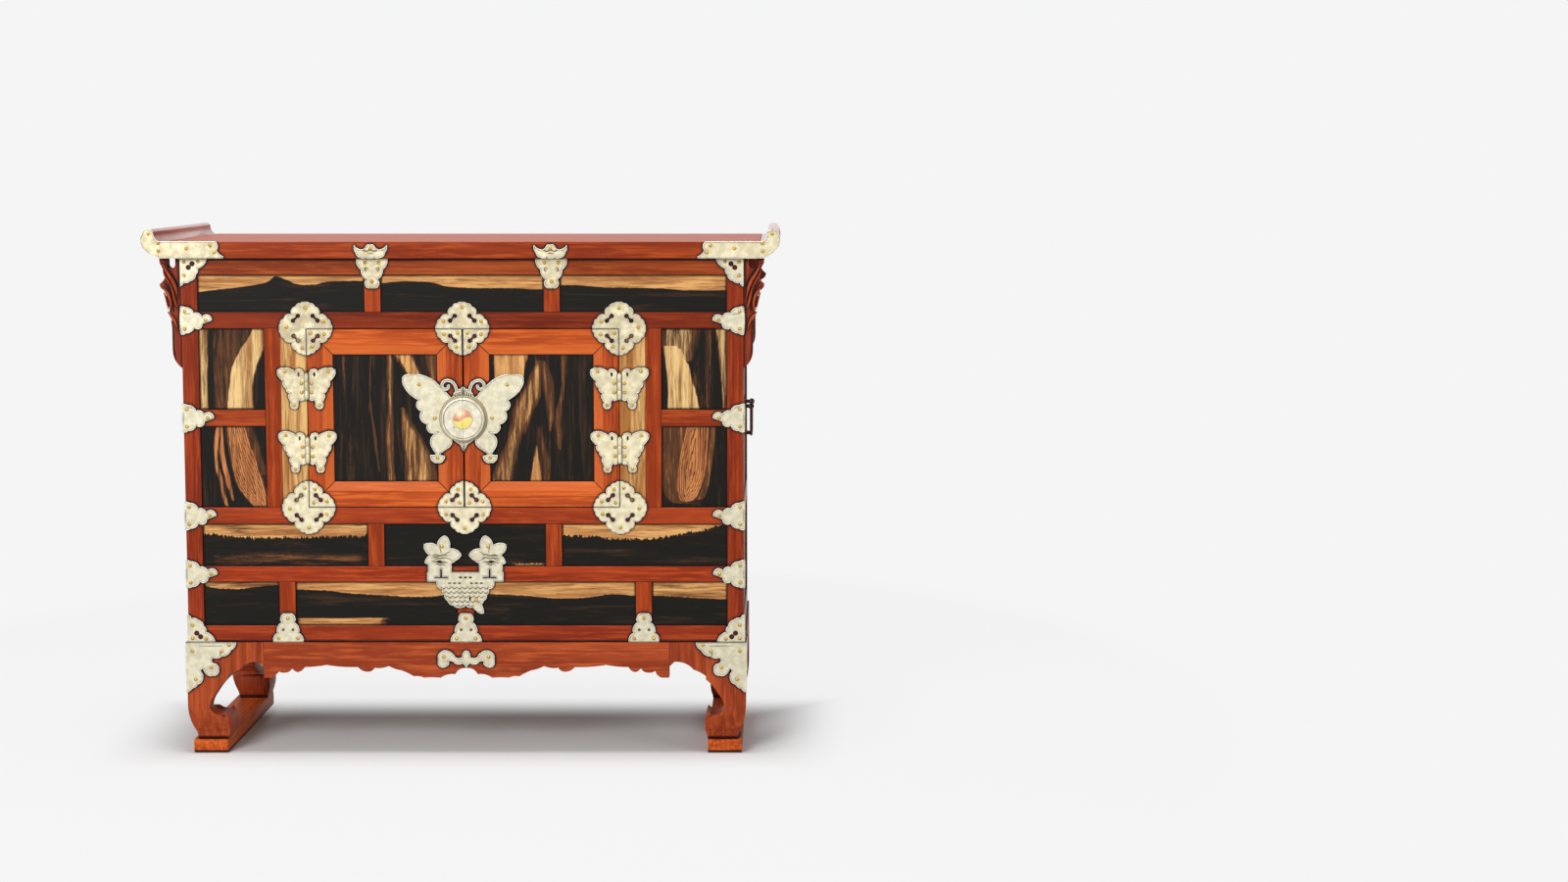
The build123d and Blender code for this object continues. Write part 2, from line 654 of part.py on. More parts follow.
with BuildPart() as left_butterfly:
    with BuildSketch(face_plane(0, drum_z)):
        with BuildLine():
            lobed_line([(-x, y, -rise) for x, y, rise in butterfly_half + butterfly_half[:1]],
                       butterfly_span, butterfly_high)
        make_face()
        with BuildLine():
            Spline(*[(-x * butterfly_span, y * butterfly_high) for x, y in antenna_line])
        trace(line_width=antenna_wide)
        with Locations((-butterfly_gap / 2, 0)):
            Rectangle(butterfly_gap, 2 * butterfly_high, mode=Mode.SUBTRACT)
    extrude(amount=plate_thick)
    door_nails.extend((-x * butterfly_span, front - plate_thick, drum_z + y * butterfly_high)
                      for x, y in butterfly_nails)
save(left_butterfly, "left_butterfly")

drum_face = front - plate_thick
with BuildPart() as left_drum:
    with BuildSketch(face_plane(0, drum_z, plate_thick)):
        Circle(drum_radius)
    extrude(amount=drum_high)
    with BuildSketch(face_plane(0, drum_z, plate_thick)):
        Circle(drum_base_radius)
    extrude(amount=drum_base_thick)
    fillet(left_drum.faces().sort_by(Axis.Y)[0].edges(), drum_rim * 0.8)
    with BuildSketch(face_plane(0, drum_z, plate_thick + drum_high - drum_sink)):
        Circle(drum_radius - drum_rim)
    extrude(amount=drum_sink, mode=Mode.SUBTRACT)
    with BuildSketch(Plane(origin=(0, drum_face - drum_high + drum_sink, drum_z), x_dir=(-1, 0, 0),
                           z_dir=(0, 0, 1))):
        with BuildLine():
            cap_section(boss_radius, boss_rise)
        make_face()
    revolve(axis=Axis((0, 0, drum_z), (0, 1, 0)))
    split(bisect_by=Plane.YZ.offset(-drum_split), keep=Keep.BOTTOM)
save(left_drum, "left_drum")

# ---- plates on the posts: junctions and corners, folded round to the side below the wings ------
# upper half of a junction plate, from the post edge to its tip: shares of the reach and half height
junction_half = [(0, 1.0, 0.1), (0.15, 0.90, 0.35), (0.42, 0.50, 0.40), (0.69, 0.24, 0.75), (1.0, 0, 0)]
junction_nails = [(0.12, 0.62), (0.12, -0.62), (0.80, 0)]
# a corner plate from its outer corner, the way it reaches: shares of its width and height
corner_outline = [(0, 0, 0), (1.0, 0, 0.25), (0.80, -0.30, 0.35), (0.64, -0.34, 0.45), (0.58, -0.58, 0.40),
                  (0.38, -0.80, 0.35), (0.13, -0.86, 0.20), (0, -1.0, 0)]
corner_holes = [(0.46, -0.20), (0.32, -0.33)]
corner_nails = [(0.68, -0.12), (0.16, -0.14), (0.16, -0.62)]
leg_plate_outline = [(0, 0, 0), (0.985, 0, 0.3), (0.88, -0.15, 0.35), (0.70, -0.27, 0.3), (0.53, -0.30, -0.8),
                     (0.56, -0.43, 0.4), (0.63, -0.54, 0.55), (0.52, -0.66, 0.35), (0.37, -0.61, 0.15),
                     (0.33, -0.52, -0.75), (0.29, -0.61, 0.25), (0.31, -0.71, 0.4), (0.20, -0.84, 0.3),
                     (0.09, -0.92, 0.2), (0, -1.0, 0)]
leg_plate_nails = [(0.85, -0.05), (0.695, -0.18), (0.485, -0.50), (0.116, -0.174), (0.174, -0.74)]


def left_plane(z, y=front, x=-side, folded=False):
    """The front at the left edge of the chest, or its left side, with local x running inwards."""
    if folded:
        return Plane(origin=(x, y, z), x_dir=(0, 1, 0), z_dir=(-1, 0, 0))
    return Plane(origin=(x, y, z), x_dir=(1, 0, 0), z_dir=(0, -1, 0))


def edge_plate(plane, points, wide, high, flip=1):
    """A plate that starts at a post edge; flip -1 turns it over, top to bottom."""
    up = flip * plane.y_dir.Z
    with BuildSketch(plane) as shape:
        with BuildLine():
            lobed_line([(x, y * up, rise * up) for x, y, rise in points + points[:1]], wide, high)
        make_face()
    extrude(shape.sketch, amount=plate_thick)


def fold(x, y, low, high):
    """The bend of a plate round the edge of a post or leg."""
    block((x - plate_thick, x), (y - plate_thick, y), (low, high))


junction_full = junction_half + [(x, -y, rise) for (x, y, _), rise in
                                 zip(junction_half[-2::-1], [r for _, _, r in junction_half[-2::-1]])]
junction_levels = [(opening_top + upper_row_base) / 2, sum(bay_rail) / 2,
                   (middle_row_top + opening_base) / 2, (lower_row_top + middle_row_base) / 2]
with BuildPart() as junction_plates:
    for z in junction_levels:
        edge_plate(left_plane(z), junction_full, junction_reach, junction_high / 2)
        frame_nails.extend((way * (-side + x * junction_reach), front - plate_thick,
                            z + y * junction_high / 2) for x, y in junction_nails for way in (-1, 1))
        if z + junction_high / 2 < carcass_top - wing_height:
            edge_plate(left_plane(z, folded=True), junction_full, junction_reach, junction_high / 2)
            fold(-side, front, z - junction_high / 2, z + junction_high / 2)
    mirror(about=Plane.YZ)
save(junction_plates, "junction_plates")

with BuildPart() as corner_plates:
    edge_plate(left_plane(carcass_top), corner_outline, corner_wide, corner_high)
    edge_plate(left_plane(carcass_base), corner_outline, corner_wide, corner_high, -1)
    for z, flip in ((carcass_top, 1), (carcass_base, -1)):
        with BuildSketch(left_plane(z)):
            with Locations(*[(x * corner_wide, flip * y * corner_high) for x, y in corner_holes]):
                Circle(lobed_hole)
        extrude(amount=plate_thick, mode=Mode.SUBTRACT)
        frame_nails.extend((way * (-side + x * corner_wide), front - plate_thick, z + flip * y * corner_high)
                           for x, y in corner_nails for way in (-1, 1))
    edge_plate(left_plane(carcass_base, folded=True), corner_outline, corner_wide, corner_high, -1)
    fold(-side, front, carcass_base, carcass_base + corner_high)
    mirror(about=Plane.YZ)
save(corner_plates, "corner_plates")

with BuildPart() as leg_plates:
    for folded in (False, True):
        edge_plate(left_plane(stand_height, stand_front, -stand_side, folded), leg_plate_outline,
                   leg_plate_reach, leg_plate_reach)
    fold(-stand_side, stand_front, stand_height - leg_plate_reach, stand_height)
    frame_nails.extend((way * (-stand_side + x * leg_plate_reach), stand_front - plate_thick,
                        stand_height + y * leg_plate_reach)
                       for x, y in leg_plate_nails for way in (-1, 1))
    mirror(about=Plane.YZ)
save(leg_plates, "leg_plates")

# ---- plates of the top and of the rails --------------------------------------------------------
end_flat = end_plate_length - scroll_reach
end_points = [(0, 1.0, 0), (0.87, 1.0, 0.25), (0.905, 0.75, 0.3), (0.885, 0.50, -0.25), (1.0, 0.10, 0),
              (0.985, 0, 0), (0, 0, 0)]
# shares of the flat length and of the height of the board
end_nails = [(-0.19, 1.48), (-0.035, 0.90), (-0.035, 0.44), (0.41, 0.60), (0.79, 0.77), (0.855, 0.36)]
with BuildPart() as top_end_plates:
    with BuildSketch(face_plane(-board_end, carcass_top, y=top_front)):
        with BuildLine():
            scroll_outline()
        make_face()
        with BuildLine():
            lobed_line(end_points + end_points[:1], end_flat, top_thick)
        make_face()
    extrude(amount=plate_thick)
    frame_nails.extend((way * (-board_end + x * end_flat), top_front - plate_thick,
                        carcass_top + z * top_thick) for x, z in end_nails for way in (-1, 1))
    mirror(about=Plane.YZ)
save(top_end_plates, "top_end_plates")

cloud_half = [(0, 1.0, 0.35), (0.30, 0.72, -0.35), (0.78, 0.68, -0.25), (1.0, 0.95, 0.25), (0.88, 0.40, 0.4),
              (0.60, 0.06, 0.5), (0.25, 0.10, 0.35), (0, 0, 0)]
with BuildPart() as cloud_plates:
    for x in upper_centres:
        half_plate(face_plane(x, carcass_top + 0.6, y=top_front), cloud_half, cloud_wide, cloud_high)
        frame_nails.append((x, top_front - plate_thick, carcass_top + 0.72 * cloud_high))
save(cloud_plates, "cloud_plates")

drop_half = [(0, 1.0, 0), (1.0, 1.0, 0.25), (0.68, 0.62, 0.30), (0.34, 0.29, 0.85), (0, 0, 0)]
with BuildPart() as drop_plates:
    for x in upper_centres:
        base = carcass_top - 0.6 - drop_high
        half_plate(face_plane(x, base), drop_half, drop_wide, drop_high)
        frame_nails.extend((x + spot_x * drop_wide, front - plate_thick, base + spot_z * drop_high)
                           for spot_x, spot_z in ((-0.22, 0.86), (0.22, 0.86), (0, 0.22)))
save(drop_plates, "drop_plates")

base_half = [(0, 1.0, 0.5), (0.46, 0.85, 0.5), (0.34, 0.70, 0.30), (0.72, 0.44, 0.30), (0.66, 0.33, 0.30),
             (1.0, 0.05, 0), (1.0, 0, 0), (0, 0, 0)]
with BuildPart() as base_plates:
    for x in lower_centres:
        half_plate(face_plane(x, carcass_base), base_half, base_plate_wide, base_plate_high)
        frame_nails.extend((x + spot_x * base_plate_wide, front - plate_thick,
                            carcass_base + spot_z * base_plate_high)
                           for spot_x, spot_z in ((0, 0.84), (-0.32, 0.13), (0.32, 0.13)))
save(base_plates, "base_plates")

# a bud between two scrolls
ornament_half = [(0, 0.98, 0.35), (0.13, 0.62, -0.35), (0.40, 0.60, 0.25), (0.70, 0.96, 0.55),
                 (1.0, 0.42, 0.75), (0.72, 0.12, 0.6), (0.66, 0.40, -0.35), (0.40, 0.28, 0.30),
                 (0.13, 0.30, -0.2), (0, 0, 0)]
with BuildPart() as apron_ornament:
    ornament_base = stand_height - apron_high * 0.73
    half_plate(face_plane(0, ornament_base, y=stand_front), ornament_half, ornament_wide, ornament_high)
    frame_nails.extend((x * ornament_wide, stand_front - plate_thick, ornament_base + 0.62 * ornament_high)
                       for x in (-0.40, 0.40))
save(apron_ornament, "apron_ornament")

# ---- flower-basket plate -----------------------------------------------------------------------
basket_z = (lower_row_top + middle_row_base) / 2
rim_half = 0.445 * basket_wide
flower_x = 0.272 * basket_wide
flower_z = 0.25 * basket_high
petal_length = 0.255 * basket_high


def petal(x, z, length, wide, angle):
    """A pointed petal that grows from (x, z) at the given angle."""
    with BuildSketch(mode=Mode.PRIVATE) as leaf:
        with BuildLine():
            ThreePointArc((0, 0), (0.45 * length, wide / 2), (length, 0))
            ThreePointArc((length, 0), (0.45 * length, -wide / 2), (0, 0))
        make_face()
    with Locations(Location((x, z), angle)):
        add(leaf.sketch)


# half of the woven bowl under the rim, scalloped down to its foot: shares of the half rim and height
bowl_half = [(0, -0.08, 0), (0.74, -0.08, 0.3), (0.70, -0.175, 0.2), (0.60, -0.19, 0.35),
             (0.55, -0.27, 0.35), (0.47, -0.345, 0.35), (0.32, -0.405, 0.35), (0.18, -0.43, 0.35),
             (0, -0.40, 0)]
with BuildPart() as basket_plate:
    with BuildSketch(face_plane(0, basket_z)):
        with Locations((0, -0.035 * basket_high)):
            Rectangle(2 * rim_half, 0.115 * basket_high)
        with BuildLine():
            lobed_line(bowl_half, rim_half, basket_high)
            mirror(about=Plane.YZ)
        make_face()
        for way in (-1, 1):
            with Locations((way * flower_x * 1.1, 0.10 * basket_high)):
                Rectangle(0.27 * basket_wide, 0.25 * basket_high)
            with Locations((way * flower_x, flower_z)):
                Circle(0.125 * basket_wide)
            for angle, reach, wide in ((80, 1.0, 0.62), (151, 1.05, 0.6), (0, 0.97, 0.62), (205, 0.95, 0.5),
                                       (335, 0.72, 0.5)):
                facing = angle if way < 0 else 180 - angle
                petal(way * flower_x, flower_z, reach * petal_length, wide * petal_length, facing)
        petal(0.075 * basket_wide, -0.33 * basket_high, 0.235 * basket_high, 0.10 * basket_high, -52)
        for way in (-1, 1):
            with Locations((way * 0.64 * rim_half, -0.043 * basket_high)):
                Rectangle(0.36 * rim_half, 0.026 * basket_high, mode=Mode.SUBTRACT)
            with Locations((way * 0.64 * rim_half, 0.02 * basket_high)):
                Rectangle(0.06 * rim_half, 0.11 * basket_high, mode=Mode.SUBTRACT)
            with Locations((way * 1.12 * flower_x, 0.165 * basket_high)):
                Ellipse(0.035 * basket_wide, 0.014 * basket_high, mode=Mode.SUBTRACT)
            with Locations(*[(way * (0.16 + 0.13 * n) * rim_half, -0.118 * basket_high) for n in range(3)]):
                Ellipse(0.045 * rim_half, 0.010 * basket_high, mode=Mode.SUBTRACT)
        with Locations(*[(n * 0.13 * rim_half, -0.043 * basket_high) for n in (-1, 0, 1)]):
            Rectangle(0.08 * rim_half, 0.022 * basket_high, mode=Mode.SUBTRACT)
        with Locations((0.05 * basket_wide, -0.315 * basket_high)):
            Ellipse(0.012 * basket_wide, 0.034 * basket_high, mode=Mode.SUBTRACT)
    extrude(amount=plate_thick)
    flower_nail_z = flower_z + 0.11 * basket_high
    frame_nails.extend((x, front - plate_thick, basket_z + z) for x, z in
                       ((-flower_x, flower_nail_z), (flower_x, flower_nail_z),
                        (0.125 * basket_wide, -0.335 * basket_high)))
save(basket_plate, "basket_plate")

# ---- side handles ------------------------------------------------------------------------------
side_face = side - panel_recess
eye_places = (-bail_span / 2, bail_span / 2)
with BuildPart() as handle_mounts:
    with BuildSketch(Plane.YZ.offset(side_face)):
        with Locations(*[(y, bail_axis_z) for y in eye_places]):
            Circle(rose_radius)
    extrude(amount=plate_thick)
    for y in eye_places:
        with BuildSketch(Plane.XZ.offset(-y - eye_thick / 2)):
            with Locations((bail_axis_x, bail_axis_z)):
                Circle(eye_radius)
            with Locations(((side_face + bail_axis_x) / 2, bail_axis_z)):
                Rectangle(bail_axis_x - side_face, 1.2 * eye_radius)
            with Locations((bail_axis_x, bail_axis_z)):
                Circle(bail_radius + bail_fit, mode=Mode.SUBTRACT)
        extrude(amount=eye_thick)
    # a stud that keeps the hanging bail off the wood
    with BuildSketch(Plane.YZ.offset(side_face)):
        with Locations((0, bail_axis_z - bail_drop + bail_radius)):
            Circle(stud_radius)
    extrude(amount=bail_axis_x - bail_radius - bail_fit - side_face)
    mirror(about=Plane.YZ)
save(handle_mounts, "handle_mounts")

bail_end = bail_span / 2 - eye_thick / 2 - 2.0
bail_arm = bail_span / 2 + eye_thick / 2 + 2.5 * bail_radius
with BuildPart() as right_handle:
    with BuildLine(Plane.YZ.offset(bail_axis_x)) as bail_path:
        FilletPolyline((-bail_end, bail_axis_z), (-bail_arm, bail_axis_z),
                       (-bail_arm + bail_flare, bail_axis_z - bail_drop + bail_radius),
                       (bail_arm - bail_flare, bail_axis_z - bail_drop + bail_radius),
                       (bail_arm, bail_axis_z), (bail_end, bail_axis_z),
                       radius=[bail_bend, bail_round, bail_round, bail_bend])
    with BuildSketch(Plane(origin=bail_path.line @ 0, z_dir=bail_path.line % 0)):
        Circle(bail_radius)
    sweep(path=bail_path.line)
save(right_handle, "right_handle")

with BuildPart() as left_handle:
    mirror(right_handle.part, about=Plane.YZ)
save(left_handle, "left_handle")

# ---- nails -------------------------------------------------------------------------------------
with BuildPart() as nail_head:
    with BuildSketch(Plane.XZ):
        with BuildLine():
            cap_section(nail_radius, nail_rise)
        make_face()
    revolve(axis=Axis.Z)


def save_nails(spots, name):
    with BuildPart() as nails:
        with Locations(*[Location(spot, (90, 0, 0)) for spot in spots]):
            add(nail_head.part)
    save(nails, name)
    return nails


save_nails(frame_nails, "frame_nails")
left_door_nails = save_nails(door_nails, "left_door_nails")
with BuildPart() as right_door_nails:
    mirror(left_door_nails.part, about=Plane.YZ)
save(right_door_nails, "right_door_nails")

# ---- right door, the mirror of the left --------------------------------------------------------
for source, name in ((left_door_frame, "right_door_frame"), (left_door_panel, "right_door_panel"),
                     (left_door_plates, "right_door_plates"), (left_hinge_wings, "right_hinge_wings"),
                     (left_butterfly, "right_butterfly"), (left_drum, "right_drum")):
    with BuildPart() as mirrored:
        mirror(source.part, about=Plane.YZ)
    save(mirrored, name)
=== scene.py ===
"""A low Korean head-side chest: red lacquered frame, dark persimmon veneer, nickel silver fittings.

Metres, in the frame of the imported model: +Z up, the front faces -Y.
"""
import json
import math
import bpy
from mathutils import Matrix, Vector


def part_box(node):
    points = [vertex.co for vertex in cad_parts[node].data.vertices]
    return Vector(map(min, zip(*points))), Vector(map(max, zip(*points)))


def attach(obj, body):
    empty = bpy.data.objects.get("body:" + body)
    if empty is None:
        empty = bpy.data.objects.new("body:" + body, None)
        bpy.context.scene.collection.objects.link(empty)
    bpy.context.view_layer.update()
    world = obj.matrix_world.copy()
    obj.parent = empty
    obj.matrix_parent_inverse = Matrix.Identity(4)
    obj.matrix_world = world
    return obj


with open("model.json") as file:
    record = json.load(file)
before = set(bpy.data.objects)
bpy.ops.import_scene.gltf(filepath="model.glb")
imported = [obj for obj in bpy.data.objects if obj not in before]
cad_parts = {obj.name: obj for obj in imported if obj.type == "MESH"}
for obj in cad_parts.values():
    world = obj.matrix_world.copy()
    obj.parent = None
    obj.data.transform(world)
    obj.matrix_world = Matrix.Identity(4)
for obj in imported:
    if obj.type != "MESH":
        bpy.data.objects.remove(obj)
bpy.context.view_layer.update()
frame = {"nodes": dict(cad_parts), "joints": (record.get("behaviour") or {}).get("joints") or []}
nodes = frame["nodes"]

# ---- studio ---------------------------------------------------------------------------------
# The chest stands on a white sweep of paper. The camera is a little above its top and to the right,
# with a long lens. One large soft light hangs overhead and one in front on the left.
eye = bpy.data.cameras.new("studio_camera")
eye.lens = 62.22
eye.sensor_width = 36.0
downward_tilt = 6.067
camera = bpy.data.objects.new("studio_camera", eye)
camera.location = (0.5046, -4.4462, 0.9526)
camera.rotation_euler = (math.radians(90.0 - downward_tilt), 0.0, 0.0)
bpy.context.scene.collection.objects.link(camera)
bpy.context.scene.camera = camera
bpy.context.scene.view_settings.view_transform = "Standard"


class Wire:
    """One value in a finish, which can be added, scaled and compared as a plain number can."""

    def __init__(self, finish, socket):
        self.finish = finish
        self.socket = socket

    def worked(self, operation, *values):
        return self.finish.node("ShaderNodeMath", {"operation": operation}, dict(enumerate(values)))

    def __add__(self, other):
        return self.worked("ADD", self, other)

    def __radd__(self, other):
        return self.worked("ADD", other, self)

    def __sub__(self, other):
        return self.worked("SUBTRACT", self, other)

    def __rsub__(self, other):
        return self.worked("SUBTRACT", other, self)

    def __mul__(self, other):
        return self.worked("MULTIPLY", self, other)

    def __rmul__(self, other):
        return self.worked("MULTIPLY", other, self)

    def __pow__(self, other):
        return self.worked("POWER", self, other)

    def __abs__(self):
        return self.worked("ABSOLUTE", self)

    def over(self, other):
        return self.worked("MAXIMUM", self, other)

    def under(self, other):
        return self.worked("MINIMUM", self, other)

    def sine(self):
        return self.worked("SINE", self)

    def hypot(self, other):
        return (self * self + other * other) ** 0.5


class Finish:
    """A material and the nodes that make it up."""

    def __init__(self, name):
        self.material = bpy.data.materials.new(name)
        self.material.use_nodes = True
        self.tree = self.material.node_tree
        self.surface = self.tree.nodes["Principled BSDF"]

    def node(self, kind, settings=None, inputs=None, out=0):
        """A new node, set and fed, by one of its outputs. The setting bends draws a float curve."""
        made = self.tree.nodes.new(kind)
        for key, value in (settings or {}).items():
            if key == "bends":
                line = made.mapping.curves[0]
                for place, height in value[1:-1]:
                    line.points.new(place, height)
                for point, (place, height) in zip(line.points, value):
                    point.location = (place, height)
                made.mapping.use_clip = False
                made.mapping.update()
            else:
                setattr(made, key, value)
        for key, value in (inputs or {}).items():
            if isinstance(value, Wire):
                self.tree.links.new(value.socket, made.inputs[key])
            else:
                made.inputs[key].default_value = value
        return Wire(self, made.outputs[out])

    def set(self, **values):
        """Sets or feeds the surface's own sockets, named with _ for a space."""
        for key, value in values.items():
            socket = self.surface.inputs[key.replace("_", " ")]
            if isinstance(value, Wire):
                self.tree.links.new(value.socket, socket)
            else:
                socket.default_value = (*value, 1.0) if isinstance(value, tuple) else value
        return self.material

    def place(self, turn=(0, 0, 0), scale=(1, 1, 1), shift=(0, 0, 0)):
        where = self.node("ShaderNodeTexCoord", out="Object")
        return self.node("ShaderNodeMapping", {},
                         {0: where, "Rotation": turn, "Scale": scale, "Location": shift})

    def axes(self):
        """The place on the chest along each axis, in metres."""
        place = self.node("ShaderNodeTexCoord", out="Object")
        return [self.node("ShaderNodeSeparateXYZ", {}, {0: place}, out=n) for n in range(3)]

    def noise(self, where, scale, detail=4.0, rough=0.55, bend=0.0):
        return self.node("ShaderNodeTexNoise", {},
                         {"Vector": where, "Scale": scale, "Detail": detail, "Roughness": rough,
                          "Distortion": bend})

    def step(self, value, low, high, to=(0.0, 1.0)):
        return self.node("ShaderNodeMapRange", {"interpolation_type": "SMOOTHSTEP", "clamp": True},
                         {0: value, 1: low, 2: high, 3: to[0], 4: to[1]})

    def mix(self, share, first, second):
        """The first colour where the share is 0 and the second where it is 1."""
        colours = {6: first if isinstance(first, Wire) else (*first, 1.0),
                   7: second if isinstance(second, Wire) else (*second, 1.0)}
        return self.node("ShaderNodeMix", {"data_type": "RGBA"}, {0: share, **colours}, out=2)

    def bump(self, height, strength, reach=0.001):
        return self.node("ShaderNodeBump", {},
                         {"Height": height, "Strength": strength, "Distance": reach})


def tone(red, green, blue):
    """The linear colour of a paint or wood given as it looks, each part up to 255."""
    return tuple(((c / 255 + 0.055) / 1.055) ** 2.4 for c in (red, green, blue))


# the paper takes shadows only close to the chest and goes over into the even white of the room
room_white = (0.913, 0.913, 0.915)
paper = Finish("white_paper")
x, y, _ = paper.axes()
away = paper.step((x * x + (y - 0.15) * (y - 0.15) * 0.6) ** 0.5, 0.55, 1.35)
past_the_stand = (abs(x) - 0.45).over(abs(y + 0.06) - 0.15)
away = away.over(paper.step(past_the_stand, -0.02, 0.17) * 0.92)
seen = paper.node("ShaderNodeLightPath", out="Is Camera Ray").over(
    paper.node("ShaderNodeLightPath", out="Is Glossy Ray"))
paper.set(Base_Color=paper.mix(seen, (0.55, 0.55, 0.55), (0.78, 0.78, 0.78)), Roughness=0.9,
          Normal=paper.bump(paper.noise(paper.place(), 60.0, 3.0), 0.02), Specular_IOR_Level=0.1)
sweep = paper.tree.nodes.new("ShaderNodeMixShader")
glow = paper.tree.nodes.new("ShaderNodeEmission")
glow.inputs["Color"].default_value = (*room_white, 1.0)
paper.tree.links.new((away * seen).socket, sweep.inputs[0])
paper.tree.links.new(paper.surface.outputs[0], sweep.inputs[1])
paper.tree.links.new(glow.outputs[0], sweep.inputs[2])
paper.tree.links.new(sweep.outputs[0], paper.tree.nodes["Material Output"].inputs["Surface"])
bpy.ops.object.select_all(action="DESELECT")
bpy.ops.mesh.primitive_plane_add(size=14.0, location=(0, 1.5, -0.0005))
floor = bpy.context.object
floor.name = "paper_floor"
floor.data.materials.append(paper.material)
bpy.ops.object.transform_apply(location=True, rotation=False, scale=False)

room = bpy.data.worlds.new("pale_room")
bpy.context.scene.world = room
room.use_nodes = True
sky = room.node_tree
shade = sky.nodes.new("ShaderNodeMix")
shade.data_type = "RGBA"
shade.inputs[6].default_value = (0.33, 0.33, 0.33, 1.0)
shade.inputs[7].default_value = (*room_white, 1.0)
ray = sky.nodes.new("ShaderNodeLightPath")
seen = ray.outputs["Is Camera Ray"]
for kind in ("Is Glossy Ray", "Is Transmission Ray"):
    either = sky.nodes.new("ShaderNodeMath")
    either.operation = "MAXIMUM"
    sky.links.new(seen, either.inputs[0])
    sky.links.new(ray.outputs[kind], either.inputs[1])
    seen = either.outputs[0]
sky.links.new(seen, shade.inputs[0])
sky.links.new(shade.outputs[2], sky.nodes["Background"].inputs["Color"])


def soft_light(name, place, aim, size, power):
    """A square panel of light, size metres wide, turned towards the place it lights."""
    lamp = bpy.data.lights.new(name, "AREA")
    lamp.size = size
    lamp.energy = power
    held = bpy.data.objects.new(name, lamp)
    held.location = place
    held.rotation_euler = (Vector(aim) - Vector(place)).to_track_quat("-Z", "Y").to_euler()
    bpy.context.scene.collection.objects.link(held)


soft_light("ceiling_light", (-0.1, -0.45, 4.3), (0, 0, 0.2), 1.2, 92.0)
soft_light("window_light", (-1.7, -4.4, 2.5), (0, 0, 0.4), 1.8, 158.0)
soft_light("side_light", (3.2, -2.4, 1.8), (0, 0, 0.4), 2.0, 26.0)


# ---- red lacquered timber -------------------------------------------------------------------
# The frame, top, stand and doors are a close-grained wood stained brick red and rubbed with clear
# lacquer. Fine dark pores and brighter orange streaks run along each timber.
def along(axis):
    """The scale that draws a pattern out along a timber on the given axis."""
    return {"x": (0.07, 1.0, 1.0), "y": (1.0, 0.07, 1.0), "z": (1.0, 1.0, 0.07)}[axis]


lacquer_gloss = 1.22
# the dark tone of the painted shade laid on lacquered timber right beside other pieces
timber_contact_shade = (0.012, 0.004, 0.003)


def contact_shade(finish, reach=0.0055, least=0.03):
    """1 on an open face, down to the least value right beside another piece: the mask of painted contact
    shade.
    """
    near = finish.node("ShaderNodeAmbientOcclusion", {"samples": 8}, {"Distance": reach}, out="AO")
    return finish.step(near, 0.82, 0.995, (least, 1.0))


def timber_colour(finish, axis, middle, seed):
    """The colour of a timber about its middle tone, with its broad figure and its grain as heights."""
    where = finish.place(scale=along(axis), shift=(seed, seed * 1.7, seed * 0.6))
    wide = finish.noise(where, 34.0, 3.0, 0.5, 0.6)
    fine = finish.noise(where, 210.0, 4.0, 0.62)
    pores = finish.noise(finish.place(scale=[s * s for s in along(axis)]), 620.0, 2.0, 0.7)
    deep = tuple(c * f for c, f in zip(middle, (0.60, 0.48, 0.48)))
    bright = tuple(min(c * f, 1.0) for c, f in zip(middle, (1.34, 1.6, 1.5)))
    body = finish.mix(finish.step(wide, 0.32, 0.70), deep, middle)
    body = finish.mix(finish.step(fine, 0.44, 0.68) * 0.7, body, bright)
    body = finish.mix(finish.step(pores, 0.56, 0.72) * 0.7, body, tuple(c * 0.30 for c in middle))
    return body, wide, fine + pores * 0.5


def red_timber(name, axis, middle, seed, rough=0.30, polished_top=False):
    """Lacquered timber, its grain along an axis. A polished top has a clear coat where it looks up."""
    wood = Finish(name)
    colour, wide, fine = timber_colour(wood, axis, middle, seed)
    # painted shade: the timber goes to a dark tone right beside other pieces
    colour = wood.mix(1.0 - contact_shade(wood), colour, timber_contact_shade)
    if polished_top:
        facing = wood.node("ShaderNodeNewGeometry", out="Normal")
        upward = wood.node("ShaderNodeSeparateXYZ", {}, {0: facing}, out=2)
        wood.set(Coat_Weight=wood.step(upward, 0.2, 0.6), Coat_Roughness=0.16)
    return wood.set(Base_Color=colour, Roughness=rough + 0.16 * wide, IOR=lacquer_gloss,
                    Normal=wood.bump(fine, 0.18, 0.0006))


def soften(node, width, steps, material):
    """Eases the sharp edges of a carried-over node and gives it its finish."""
    piece = nodes[node]
    weld = piece.modifiers.new("joined", "WELD")
    weld.merge_threshold = 0.00001
    ease = piece.modifiers.new("eased_edges", "BEVEL")
    ease.width = width
    ease.segments = steps
    ease.limit_method = "ANGLE"
    ease.angle_limit = math.radians(38)
    piece.data.materials.clear()
    piece.data.materials.append(material)


